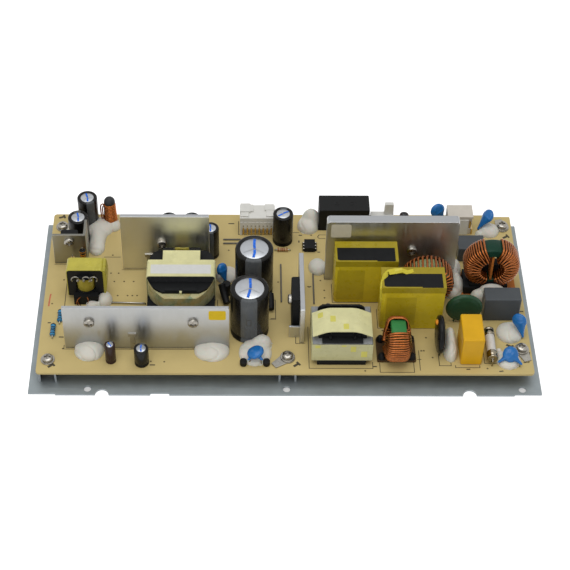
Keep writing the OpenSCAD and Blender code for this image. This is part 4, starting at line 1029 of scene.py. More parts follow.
class DressTransformers(bpy.types.Operator):
    """Finishes the main, standby and filter transformers, with their labels, wires and tape ends"""
    bl_idname = "supply.transformers"
    bl_label = "Transformers"

    # Finish and edge width of each taped winding
    WRAPS = (("main_transformer_winding", "wrap", 0.4), ("main_transformer_tape", "cream_tape", 0.15),
             ("standby_transformer_winding", "amber_wrap", 0.3),
             ("standby_transformer_tape", "standby_tape", 0.15),
             ("filter_transformer_tape", "belt_tape", 0.3))
    # The main transformer's label and tape laps, from the middle of its top: left, front, right, back and
    # bend, and a lap's thickness
    LABEL = (-17.4, -4.6, 17.2, 2.6, 0.4)
    TOP_LAPS = (((-19.2, 4.2, 19.2, 6.5, 0.2), 0.05), ((-10.4, 6.4, 10.4, 13.6, 0.3), 0.04))
    # The nib and the blocks on its upper flange
    NIB = (-0.6, 0.7, -15.3, -13.9, -1.8, 0.5)
    BLOCKS = ((-9, -0.9, -13.9, -11.5, -0.1, 0.7), (1.4, 9.2, -13.9, -11.5, -0.1, 0.7))
    # That flange's height over the core's foot, and one rear ear with its bends
    FLANGE = 16.2
    EAR = ((8, 6), (8, 19.6), (16.4, 18), (19.2, 11), (19.2, 6))
    EAR_BENDS = (0.2, 0.2, 4, 3, 0.2)
    # The film round the main winding: radius and middle of its sides, its flat front, and its thickness
    FILM_R = 20.5
    FILM_Y = 0.1
    FILM_FRONT = -18.35
    FILM = 0.35
    # The standby transformer's pins, each with the way that its wire loops
    PINS = ((-3.9, -1), (-0.4, 1), (3.9, 1))
    # Strands at the standby transformer's foot, from the middle of the bobbin's front
    STRANDS = (
        ((-2.6, 0.4, 6.4), (-4.4, -0.9, 5.4), (-5.6, -1.4, 3.2), (-5.4, -1.2, 1.2), (-4.6, -0.8, 0)),
        ((0.6, 0.4, 6.2), (1.4, -0.8, 5.2), (1.2, -1.2, 3), (0.4, -0.9, 1.2), (0.2, -0.7, 0)),
        ((-3.6, 0.4, 6), (-5, -0.6, 4.6), (-4.6, -1, 2.2), (-3.4, -0.8, 0)))
    # Section of the standby transformer's loose tape, beside the tape's right face, and its bends
    BULGE = ((-0.3, 0.8), (0.5, 1.2), (1.5, 6), (1.9, 11), (1.8, 17), (1.2, 20.2), (-0.3, 21.08))
    BULGE_BENDS = (0, 1, 3, 3, 3, 1, 0)
    # Section of the filter transformer's wrap over its core: outside, inside and bends
    ROOF = ((-16.7, 3), (-8.4, 7.2), (8.4, 7.2), (16.7, 3))
    ROOF_INSIDE = ((-16.5, 2.55), (-8.2, 6.65), (8.2, 6.65), (16.5, 2.55))
    ROOF_BENDS = (0, 3.4, 3.4, 0)
    # Ends of bright inner tape that show through that wrap: on the roof, then on the front
    ROOF_ENDS = ((-14.2, 0.6, 3.2, 3.6), (-6.8, -4, 3, 4.4), (0.4, -9.6, 3, 4))
    FRONT_ENDS = ((-15.2, 10.4, 3, 2.2), (4.6, 7.4, 3, 4.4), (10.6, 3, 3.4, 4.6),
                  (-0.6, 11.6, 2.6, 1.2))
    # Ribs of the filter transformer's bobbin over its core
    RIBS = ((-11.2, 11.2, -14, -10.4, 0, 1.6), (-7.4, -6.2, -12.6, -8.8, 1.4, 3.4),
            (6.2, 7.4, -12.6, -8.8, 1.4, 3.4), (-10, 10, -10.6, -8.8, 1.2, 4),
            (-10.8, 10.8, 9.4, 14.2, 0.2, 1.8), (-8.6, -5.6, 9, 12, 1.4, 3.6))
    # Wire ends behind the filter transformer's roof: start, end and rise
    WIRE_ENDS = ((-9.6, -5, 3), (-8.4, -6.4, 2.4), (6.4, 7.8, 1.2))

    def execute(self, context):
        for name, key in (("main", "ferrite"), ("standby", "dark_ferrite"), ("filter", "pale_ferrite")):
            dress(name + "_transformer_core", key, 0.2)
            dress(name + "_transformer_bobbin", "black", 0.2)
        for wrap in self.WRAPS:
            dress(*wrap)
        self.main_details()
        self.main_film()
        self.standby_details()
        self.filter_details()
        return {"FINISHED"}

    def flange(self):
        """The middle of the main transformer's upper flange."""
        low, _, middle = extent("main_transformer_core")
        return Vector((middle.x, middle.y, low.z + self.FLANGE * MM))

    def main_details(self):
        """Blank label, tape laps, a nib, flange blocks and the wires that show behind the top."""
        flange = self.flange()
        top = Matrix.Translation((flange.x, flange.y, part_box("main_transformer_tape")[1].z))
        shell = bmesh.new()
        sheet(shell, oblong(*self.LABEL), top, 0.06)
        add_piece("main_transformer_label", shell, ["paper"])
        shell = bmesh.new()
        for lap, thick in self.TOP_LAPS:
            sheet(shell, oblong(*lap), top, thick)
        bars(shell, flange, self.NIB)
        bend_edges(shell, 0.3)
        add_piece("main_transformer_tape_ends", shell, ["cream_tape"])
        shell = bmesh.new()
        bars(shell, flange, *self.BLOCKS)
        bend_edges(shell, 0.25)
        for side in (-1, 1):
            ear = rounded([(side * x, y) for x, y in self.EAR], self.EAR_BENDS)
            sheet(shell, ear[::side], Matrix.Translation(at(flange, z=-0.4)), 0.9)
        add_piece("main_transformer_flange_blocks", shell, ["black"])
        shell = bmesh.new()
        back = Vector((flange.x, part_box("main_transformer_bobbin")[1].y, flange.z))
        for k in range(5):
            run = [(x, 0.15 * sin(x + k) - 2.6, 0.5 + 0.75 * k) for x in range(-4, 5, 2)]
            wire(shell, back, run, 0.4)
        add_piece("main_transformer_lead_wires", shell, ["amber_wrap"])

    def main_film(self):
        """The clear film round the main winding, which stands higher towards its sides."""
        flange = self.flange()
        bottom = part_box("main_transformer_winding")[0].z
        left = [(x, self.FILM_Y - sqrt(self.FILM_R ** 2 - x ** 2))
                for x in (-19.3 + 1.03 * k for k in range(11))]
        front = [(x, self.FILM_FRONT) for x in (-6, -3, 0, 3, 6)]
        rows = []
        for x, y in left + front + [(-x, y) for x, y in left[::-1]]:
            stand = 4.2 * max(0, (abs(x) - 9.5) / 9.8) ** 1.3
            rise = flange.z + (stand - 1.3) * MM
            section = ((0, bottom), (-0.15, (bottom + rise) / 2), (0, rise), (self.FILM, rise),
                       (self.FILM, bottom))
            rows.append([Vector((*at(flange, x, y + inset).xy, z)) for inset, z in section])
        shell = bmesh.new()
        loft(shell, rows, closed=True)
        add_piece("main_transformer_film", shell, ["wrap"])

    def standby_details(self):
        """Soldered pins with wire ends looped round them, strands at the foot, and the tape's loose end."""
        low, high, middle = extent("standby_transformer_core")
        tape_low, tape_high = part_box("standby_transformer_tape")
        wires, pins, strands = bmesh.new(), bmesh.new(), bmesh.new()
        pin = scaled((0, -2.0), (0.45, -2.0), (0.5, 0.2), (0.85, 0.6), (0.7, 1.3), (0, 1.6))
        for x, way in self.PINS:
            foot = at(Vector((middle.x, low.y, high.z)), x, -2.6, -4.9)
            lathe(pins, pin, upright(foot), 16)
            loop = [(way * (1.4 - 2.1 * cos(a)), -0.6 - 0.04 * k, 1.2 + 2.1 * sin(a))
                    for k, a in enumerate(around(-60, 20, 15))]
            wire(wires, foot, loop, 0.36)
        front = Vector((middle.x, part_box("standby_transformer_bobbin")[0].y, BOARD_TOP))
        for run in self.STRANDS:
            wire(strands, front, run, 0.22)
        add_piece("standby_transformer_strands", strands, ["copper"])
        add_piece("standby_transformer_pins", pins, ["tinned"])
        add_piece("standby_transformer_wire_ends", wires, ["tinned"])
        shell = bmesh.new()
        side = upright(Vector((tape_high.x, tape_high.y, low.z)))
        sheet(shell, rounded(self.BULGE, self.BULGE_BENDS), side, (tape_high.y - tape_low.y) / MM)
        top = Matrix.Translation((middle.x, middle.y, tape_high.z))
        sheet(shell, oblong(-8.8, -5.0, 3.6, 5.1, 0.3), top, 0.05)
        add_piece("standby_transformer_tape_lap", shell, ["standby_tape"])

    def filter_details(self):
        """The wrap over the core, bright tape ends on it, and the bobbin's ribs and wires beside it."""
        middle = extent("filter_transformer_winding")[2]
        base = Vector((middle.x, middle.y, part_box("filter_transformer_core")[1].z))
        belt_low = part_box("filter_transformer_tape")[0]
        shell = bmesh.new()
        band = rounded(self.ROOF, self.ROOF_BENDS, 6) + rounded(self.ROOF_INSIDE, self.ROOF_BENDS, 6)[::-1]
        sheet(shell, band, upright(at(base, y=6.4)), 17.8)
        bars(shell, base, (-16.0, -13.6, -8.6, 6.0, -0.2, 3.1), (13.6, 16.0, -8.6, 6.0, -0.2, 3.1))
        add_piece("filter_transformer_wrap", shell, ["cream_tape"],
                  ["filter_transformer_winding"])
        shell = bmesh.new()
        (eave_x, eave_z), (ridge_x, ridge_z) = self.ROOF[:2]
        slope = atan2(ridge_z - eave_z, ridge_x - eave_x)
        for x, y, wide, deep in self.ROOF_ENDS:
            place = Matrix.Translation(at(base, z=ridge_z))
            if x + wide / 2 < ridge_x:
                place = place @ Matrix.Translation((ridge_x * MM, 0, 0)) @ Matrix.Rotation(-slope, 4, "Y")
                x -= ridge_x
            place = place @ Matrix.Translation((x * MM, y * MM, 0))
            sheet(shell, oblong(0, 0, wide, deep, 0.5), place, 0.06)
        front = Vector((middle.x, belt_low.y, belt_low.z))
        for x, z, wide, tall in self.FRONT_ENDS:
            sheet(shell, oblong(0, 0, wide, tall, 0.4), upright(at(front, x, 0, z)), 0.05)
        add_piece("filter_transformer_tape_ends", shell, ["bright_tape"])
        bar_piece("filter_transformer_ribs", base, self.RIBS, 0.3, "black")
        shell = bmesh.new()
        for start_x, end_x, rise in self.WIRE_ENDS:
            first = Vector((start_x, 12.6, 1.6))
            last = Vector((end_x, 11.4, 1.8))
            run = [first.lerp(last, k / 8) + Vector((0, 0, rise * sin(pi * k / 8)))
                   for k in range(9)]
            wire(shell, base, run, 0.35)
        add_piece("filter_transformer_wire_ends", shell, ["dull_wire"])


class DressPowerChokes(bpy.types.Operator):
    """Finishes the two power chokes, with the folds, laps and loose ends of their tape"""
    bl_idname = "supply.power_chokes"
    bl_label = "Power chokes"

    # Where the small step in the front edge of each core lies, as a share of its width
    STEP = (0.68, 0.64)
    # Tape laps on the front face of each choke: left, low, right, high in mm from the face's lower middle
    LAPS = (((-16.4, 2.2, -0.6, 26.6), (-0.8, 0.6, 17.6, 29.4)),
            ((-15, 3, 2.2, 26), (2, 0.6, 17.4, 29)))
    # The crumpled tape end: its line from the upper left front corner, how many points run along the left
    # edge, and its section as distance inward and height
    LOOSE = ((-0.3, 0.2, -9), (-0.7, 0.8, -5), (-1, 2.4, -1.2), (-0.8, 5.6, 1.6), (0.4, 9.6, 3),
             (3.6, 13.2, 3.2), (7.4, 14.2, 2.6), (11, 14.4, 3.1), (14.6, 14, 2.2), (18, 14.8, 1.5))
    LOOSE_LEFT = 5
    FOLD = ((-0.2, -2.2), (0.2, -0.4), (1.1, 0.5), (2.2, 0.2), (3.6, -0.9))

    def execute(self, context):
        dress("power_choke_cores", "powder", 0.3)
        dress("power_choke_tapes", "choke_tape", 0.2)
        laps, rims, slabs = bmesh.new(), bmesh.new(), bmesh.new()
        tapes = solids("power_choke_tapes")
        for number, (tape, core) in enumerate(zip(tapes, solids("power_choke_cores"))):
            low, high = tape
            face = upright(Vector(((low.x + high.x) / 2, low.y, low.z)))
            for k, lap in enumerate(self.LAPS[number]):
                sheet(laps, oblong(*lap, 0.5), face, 0.05 + 0.02 * k, k)
            self.rim(rims, *tape, *core)
            self.slab(slabs, low.y, *core, self.STEP[number])
        add_piece("power_choke_tape_laps", laps, ["dark_tape", "choke_tape"])
        bend_edges(rims, 0.3)
        # The rims' tops take the darker copy of the tape: painted shade
        add_piece("power_choke_tape_rims", rims, ["shaded_top_tape"])
        add_piece("power_choke_core_tops", slabs, ["powder"])
        low, high = tapes[1]
        self.loose_end(Vector((low.x, low.y, high.z)))
        return {"FINISHED"}

    def slab(self, shell, front, low, high, step):
        """The top of a core out to the tape's face: a rounded corner, a small step, a moulded half ring."""
        wide = (high.x - low.x) / MM
        deep = (high.y - front) / MM
        turn = 0.4 + step * (wide - 1.2)
        right = wide - 0.9
        outline = rounded(((0.4, 0.9), (turn, 0.9), (turn, 0.15), (right, 0.15), (right, deep), (0.4, deep)),
                          (1.8, 0.2, 0.2, 0.6, 0.3, 0.3))
        corner = Vector((low.x, front, high.z))
        sheet(shell, outline, Matrix.Translation(at(corner, z=-0.3)), 0.42)
        ring = [(turn - 1.6 + 1.2 * cos(a), 1.9 + 1.2 * sin(a), 0.12) for a in around(0, 15, 13)]
        wire(shell, corner, ring, 0.14, 6)

    def rim(self, shell, low, high, core_low, core_high):
        """Tape folded up round the top edges of a core: the front and both sides stand a little proud."""
        rim = high.z
        top = core_high.z
        for first, start_mm, last, end_mm in (
                ((low.x, low.y, rim), (0.05, -0.1, -2.8), (high.x, core_low.y, top), (-0.05, 0.2, 0.05)),
                ((low.x, low.y, rim), (0, 0.1, -0.6), (core_low.x, core_high.y, top), (0.4, 0, 0.15)),
                ((core_high.x, low.y, rim), (-0.9, 0.1, -0.6), (high.x, core_high.y, top), (0, 0, 0.15)),
                ((low.x, core_high.y, rim), (0.05, -0.1, -0.6), (high.x, high.y, top), (-0.05, 0, 0.1))):
            block(shell, at(Vector(first), *start_mm), at(Vector(last), *end_mm))

    def loose_end(self, corner):
        """A crumpled tape end along the upper left edge: a folded strip on seeded, uneven ridges."""
        wander = random.Random(7)
        rows = []
        for k, point in enumerate(self.LOOSE):
            row = []
            for inward, fall in self.FOLD:
                left = k < self.LOOSE_LEFT
                away = (inward, 0.35 * inward, fall) if left else (0.2 * inward, -inward, fall)
                jolt = [wander.uniform(*span) for span in ((-0.3, 0.3), (-0.3, 0.3), (-0.35, 0.45))]
                row.append(at(corner, *map(sum, zip(point, away, jolt))))
            rows.append(row)
        shell = bmesh.new()
        loft(shell, rows)
        # The crumpled strip takes the paler tape: painted highlight
        add_piece("power_choke_loose_tape", shell, ["highlit_choke_tape"], sharp=25)


class WindRings(bpy.types.Operator):
    """Winds the ring chokes and the rod choke with smooth wire, and forms their feet and posts"""
    bl_idname = "supply.rings"
    bl_label = "Ring and rod chokes"

    # Blocks of the line choke's foot: along X from its left, along Y from its front and back, over its top
    FOOT = ((0, 21, 0, 0, 0), (3, 18, 1, -1, 2.4), (20, 26, 4, -2, -2.6))
    # The clip in the line choke's ring, from the ring's middle
    CLIP = ((-4.9, -1.3, -0.5, 5.2, -7, -1.6), (1.3, 4.9, -0.5, 5.2, -7, -1.6))
    # A corner post of the small choke as radius and height, and how far in from its base's sides, front
    # and back the posts stand
    POST = ((0, 0), (2.1, 0), (1.9, 2.6), (1.2, 3.6), (0, 3.9))
    POST_IN = (2.4, 2.2, 2.6)
    # The rod choke in mm: wire, stem radius, gap to the stem, rise of a turn, flare of the lowest turn
    WIRE = 1.0
    STEM = 2.5
    GAP = 0.15
    PITCH = 1.12
    FLARE = 0.7
    TURNS = 13
    PER_TURN = 20
    # A wire end of the rod choke, from the rod's foot: distance to the left and height
    LOOP = ((3.4, 16.4), (4.2, 17.4), (5.1, 16.6), (5.6, 14.4), (5.5, 10), (5.2, 6), (5, 2))
    LOOP_R = 0.42

    def execute(self, context):
        for name, key in (("line_choke", "dark_green"), ("boost_toroid", "pale_green"),
                          ("small_choke", "bright_green")):
            dress(name + "_core", key, 0.8)
        self.foot()
        dress("small_choke_base", "dark_fibre", 0.2)
        dress("line_choke_divider", "fibre")
        self.ring("line_choke_wire", "line_choke_windings", "Y", ((9.2, 14.7, 5.1), 1.3, 24, -76, 72, 2),
                  both=True, loose=0.5, bow=1.6)
        self.ring("boost_toroid_wire", "boost_toroid_winding", "Y", ((7.4, 13.6, 5.2), 1.4, 17, -84, 264, 2),
                  strands=((0, 0), (10.2, 10.2)), loose=1.0, bow=1.0, lift=0.5)
        self.ring("small_choke_wire", "small_choke_windings", "X", ((6.2, 11.7, 4.8), 1.2, 20, -66, 66, 2),
                  both=True, swell=1.3, loose=0.6, bow=3.0)
        self.posts()
        self.rod()
        return {"FINISHED"}

    def foot(self):
        """The line choke's stepped foot and the clip that holds its ring."""
        low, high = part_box("line_choke_base")
        back = Vector((low.x, high.y, high.z))
        shell = bmesh.new()
        for x0, x1, y0, y1, z1 in self.FOOT:
            block(shell, at(low, x0, y0), at(back, x1, y1, z1))
        bars(shell, extent("line_choke_core")[2], *self.CLIP)
        bend_edges(shell, 0.6)
        add_piece("line_choke_foot", shell, ["black"], ["line_choke_base"])

    def ring(self, name, node, along, winding, both=False, strands=((0, 0),), lift=0.0, **forms):
        """Windings on a ring core that stands on edge, mirrored onto the other half or with two strands."""
        middle = extent(node.rsplit("_", 1)[0] + "_core")[2]
        place = standing(at(middle, z=lift), along)
        radius = winding[1] / 2 * MM
        shell = bmesh.new()
        for lag in strands:
            path = ring_path(*winding, lag=lag, **forms)
            tube(shell, [place @ p for p in path], radius)
            if both:
                tube(shell, [place @ Vector((-p.x, p.y, p.z)) for p in path], radius)
        add_piece(name, shell, ["copper"], [node])

    def posts(self):
        """The four stubby corner posts that grip the small choke."""
        low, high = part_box("small_choke_base")
        shell = bmesh.new()
        side, front, back = (inset * MM for inset in self.POST_IN)
        for x in (low.x + side, high.x - side):
            for y in (low.y + front, high.y - back):
                lathe(shell, scaled(*self.POST), Matrix.Translation((x, y, high.z - 0.1 * MM)), 20)
        add_piece("small_choke_posts", shell, ["black"])

    def rod(self):
        """The coil on the upright rod under a domed core end, with two wire ends looped down beside it."""
        low, high, middle = extent("rod_choke_core")
        foot = Vector((middle.x, middle.y, low.z))
        coil_z = (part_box("rod_choke_winding")[0].z - low.z) / MM + self.WIRE / 2
        count = self.TURNS * self.PER_TURN
        coil = []
        for i, a in enumerate(around(0, 360 / self.PER_TURN, count + 1)):
            wide = self.STEM + self.WIRE / 2 + self.GAP + self.FLARE * (1 - i / count) ** 1.5
            coil.append((wide * cos(a), wide * sin(a), coil_z + self.PITCH * i / self.PER_TURN))
        shell = bmesh.new()
        wire(shell, foot, coil, self.WIRE / 2, 10)
        for inward, lower in ((0, 0), (1.1, 1.3)):
            loop = [(inward - x, -1.0, z - lower) for x, z in self.LOOP]
            wire(shell, foot, loop + [(*loop[-1][:2], 0)], self.LOOP_R, 10)
        # The rod's coil takes the lighter copper: painted highlight
        add_piece("rod_choke_wire", shell, ["bright_copper"], ["rod_choke_winding"])
        cap = (high.x - low.x) / 2 / MM
        height = (high.z - low.z) / MM
        neck = coil[-1][2] + self.WIRE / 2 + 0.1
        dome = [(cap * cos(a), height - 1.02 * cap * (1 - sin(a)))
                for a in map(radians, (0, 20, 40, 60, 76))]
        shell = bmesh.new()
        profile = scaled((0, 0), (self.STEM, 0), (self.STEM, neck), (cap * 0.96, neck), (cap, neck + 0.3),
                         *dome, (0, height))
        lathe(shell, profile, Matrix.Translation(foot), 36)
        add_piece("rod_choke_rod", shell, ["ferrite"], ["rod_choke_core"])


class MakeElectrolytics(bpy.types.Operator):
    """Forms the electrolytic capacitors in their sleeves"""
    bl_idname = "supply.electrolytics"
    bl_label = "Electrolytic capacitors"

    # The side that the stripe faces and the way that the marker stroke runs, in degrees from the front
    FACES = ((190, 10), (25, 10), (160, 30), (170, 0), (150, 0), (200, 0), (-2, 5), (-2, -6), (-3, -5),
             (175, -60), (180, None))
    # Extra height in mm of the cans that just show over or beside the output heatsink
    TALLER = {5: 1.6, 6: 1.6, 7: 2.2}
    # Cans with a larger radius have a narrow lip and a frame on the stripe, smaller ones a brown sleeve
    BULK_R = 9 * MM
    SMALL_R = 3.5 * MM
    # Half the stripe's width in degrees, and the bars of its frame: two angles and two shares of the height
    STRIPE = 24
    STRIPE_FRAME = ((-7, -5.6, 0.44, 0.56), (5.6, 7, 0.44, 0.56), (-7, 7, 0.43, 0.44), (-7, 7, 0.56, 0.57))
    # The two runs of a marker stroke, in radii from the middle of the top
    PEN_RUNS = ((-0.85, -0.1), (0.02, 0.9))

    def execute(self, context):
        for number, (low, high) in enumerate(solids("capacitor_sleeves"), 1):
            facing, pen = self.FACES[(number - 1) % len(self.FACES)]
            radius = (high.x - low.x) / 2
            height = high.z - low.z + self.TALLER.get(number, 0) * MM
            lip = (0.26 if radius > self.BULK_R else 0.35) * radius
            turn = Matrix.Rotation(radians(facing), 4, "Z")
            place = Matrix.Translation(((low.x + high.x) / 2, (low.y + high.y) / 2, low.z)) @ turn
            self.sleeve(number, place, radius, height, lip)
            self.can(number, place, radius, height, lip, facing, pen)
        return {"FINISHED"}

    def sleeve(self, number, place, radius, height, lip):
        """A sleeve with its base groove, rolled shoulder, rim and stripe."""
        groove = 0.22 * radius + 1.2 * MM
        waist = radius - 0.05 * radius
        body = [(0, 0), (radius * 0.97, 0), (radius, 0.03 * radius), (radius, groove * 0.7),
                (waist, groove * 0.92), (waist, groove * 1.08), (radius, groove * 1.3)]
        shoulder = round_corner(radius, height, 0.13 * radius)
        rim = [(radius - lip * 0.8, height - 0.02 * radius), (radius - lip, height - 0.05 * radius),
               (radius - lip, height - 0.1 * radius)]
        shell = bmesh.new()
        lathe(shell, body + shoulder + rim, place, 72, 0, stripe=(1, self.STRIPE))
        if radius > self.BULK_R:
            for a, b, low, high in self.STRIPE_FRAME:
                wall_patch(shell, place, radius * 1.003, (a, b), (low * height, high * height), 2)
        keys = ["brown_sleeve" if radius < self.SMALL_R else "sleeve", "stripe", "ink"]
        add_piece(f"capacitor_{number}_sleeve", shell, keys, ["capacitor_sleeves"])

    def can(self, number, place, radius, height, lip, facing, pen):
        """A can's top in its sleeve, with the three scores of its vent and a marker stroke."""
        inner = radius - lip * 0.9
        face = height - 0.075 * radius
        top = face + 0.02 * radius
        level = face + 0.03 * radius
        shell = bmesh.new()
        body = [(0, face - 2 * MM), (inner, face - 2 * MM), (inner, face), (inner * 0.96, top), (0, top)]
        lathe(shell, body, place, 48)
        # Each vent score is a flat darker strip: painted shade for its groove
        for a in around(90, 120, 3):
            way = Vector((cos(a), sin(a), 0)) * inner
            score = [place @ (way * share + Vector((0, 0, level))) for share in (0.04, 0.8)]
            ribbon(shell, score, 0.035 * radius, 1)
        lean = Matrix.Rotation(radians((pen or 0) - facing), 4, "Z")
        wander = random.Random(number)
        for first, last in self.PEN_RUNS if pen is not None else ():
            points = []
            for k in range(6):
                along = first + (last - first) * k / 5
                across = 0.05 * sin(3 * along + number) + wander.uniform(-0.01, 0.01)
                points.append(place @ lean @ Vector((across * inner, along * inner, level + 0.01 * radius)))
            ribbon(shell, points, 0.1 * radius + 0.4 * MM, 2)
        keys = ["can" if pen is not None else "sleeve", "score", "pen"]
        add_piece(f"capacitor_{number}_can", shell, keys, ["capacitor_cans"])


class DressFilms(bpy.types.Operator):
    """Finishes the moulded film capacitors"""
    bl_idname = "supply.films"
    bl_label = "Film capacitors"

    def execute(self, context):
        dress("yellow_film_capacitor", "yellow_box", 0.8)
        dress("grey_film_capacitors", "grey_box", 0.5)
        return {"FINISHED"}


class MakeDiscs(bpy.types.Operator):
    """Forms the dipped discs with their necks, and finishes the varistor, thermistor and sleeves"""
    bl_idname = "supply.discs"
    bl_label = "Discs"

    # Each ceramic disc: middle, way that it faces, diameter, thickness and the feet of its necks
    DISCS = (
        ((133.6, -33, 10.3), (-0.55, -0.8, 0.25), 9, 4.4, ((135.8, -37.4, 2.8),)),
        ((126.6, -54.8, 6.2), (0.1, -0.6, 0.8), 9.2, 5, ((120.8, -57.4, 3.5), (132, -58.6, 3.2))),
        ((-16.6, -54.4, 7), (-0.3, 0.1, 0.95), 9.9, 4.8, ((-13.4, -57.6, 5), (-19.8, -57, 4.4))),
        ((-36.2, 7.6, 10), (0.7, -0.65, 0.3), 7.6, 4.4, ((-34, 4.2, 4.6),)),
        ((94.6, 58.4, 9.4), (0.35, -0.9, 0.2), 9.4, 4.4, ((98.2, 58, 3),)),
        ((124.8, 53.2, 9.8), (-0.72, -0.3, 0.62), 8.4, 3.8, ((119.6, 50, 3),)))
    # How fast a neck narrows on a disc with one neck and with two, and how many lumps it is melted from
    TAPERS = (1.25, 2.1)
    LUMPS = 12
    # Two lead sleeves that lean, and their radius
    SLEEVES = (((-36.2, -4, 9.4), (-35.6, -5.2, 7.6), (-34.4, -8.4, 4.4), (-33, -12.6, 2.4)),
               ((-8, -8, 5.4), (-7.8, -10, 4.8), (-7.6, -14, 3), (-7.7, -17, 2)))
    SLEEVE_R = 2.1 * MM

    def execute(self, context):
        shell = bmesh.new()
        wires = bmesh.new()
        for middle, facing, across, thick, feet in self.DISCS:
            middle = spot(*middle)
            facing = Vector(facing).normalized()
            taper = self.TAPERS[len(feet) - 1]
            for foot in feet:
                foot = spot(*foot)
                along = foot - middle
                along = (along - facing * along.dot(facing)).normalized()
                turn = Matrix((facing.cross(along), along, facing)).transposed().to_4x4()
                blob(shell, middle, (across / 2, across / 2, thick / 2), turn)
                for k in range(1, self.LUMPS + 1):
                    t = k / self.LUMPS
                    width = across / 2 * (1 - t) ** taper * 0.86 + 0.8
                    depth = thick / 2 * (1 - t) * 0.9 + 0.7
                    blob(shell, middle.lerp(foot, t), (width, 1.6, depth), turn)
                tube(wires, [at(foot, z=0.3), Vector((*foot.xy, BOARD_TOP))], 0.35 * MM, 8)
        shell = melt(shell, 0.25 * MM, 8)
        ripple(shell, 0.12, 3.0)
        add_piece("ceramic_discs", shell, ["blue_dip"], ["disc_capacitors"], 75)
        add_piece("ceramic_disc_leads", wires, ["tinned"], ["disc_capacitors"])
        dress("varistor", "green_dip")
        dress("thermistor", "black_dip")
        dress("lead_sleeves", "rubber", 0.3)
        shell = bmesh.new()
        for run in self.SLEEVES:
            tube(shell, [spot(*point) for point in run], self.SLEEVE_R, 20)
        add_piece("leaning_lead_sleeves", shell, ["rubber"])
        low, high, middle = extent("thermistor")
        shell = bmesh.new()
        blob(shell, at(Vector((low.x, middle.y, high.z)), 0.75, 1.6, -2.6), (1.0, 1.7, 1.5))
        add_piece("thermistor_spot", shell, ["orange_dip"])
        return {"FINISHED"}


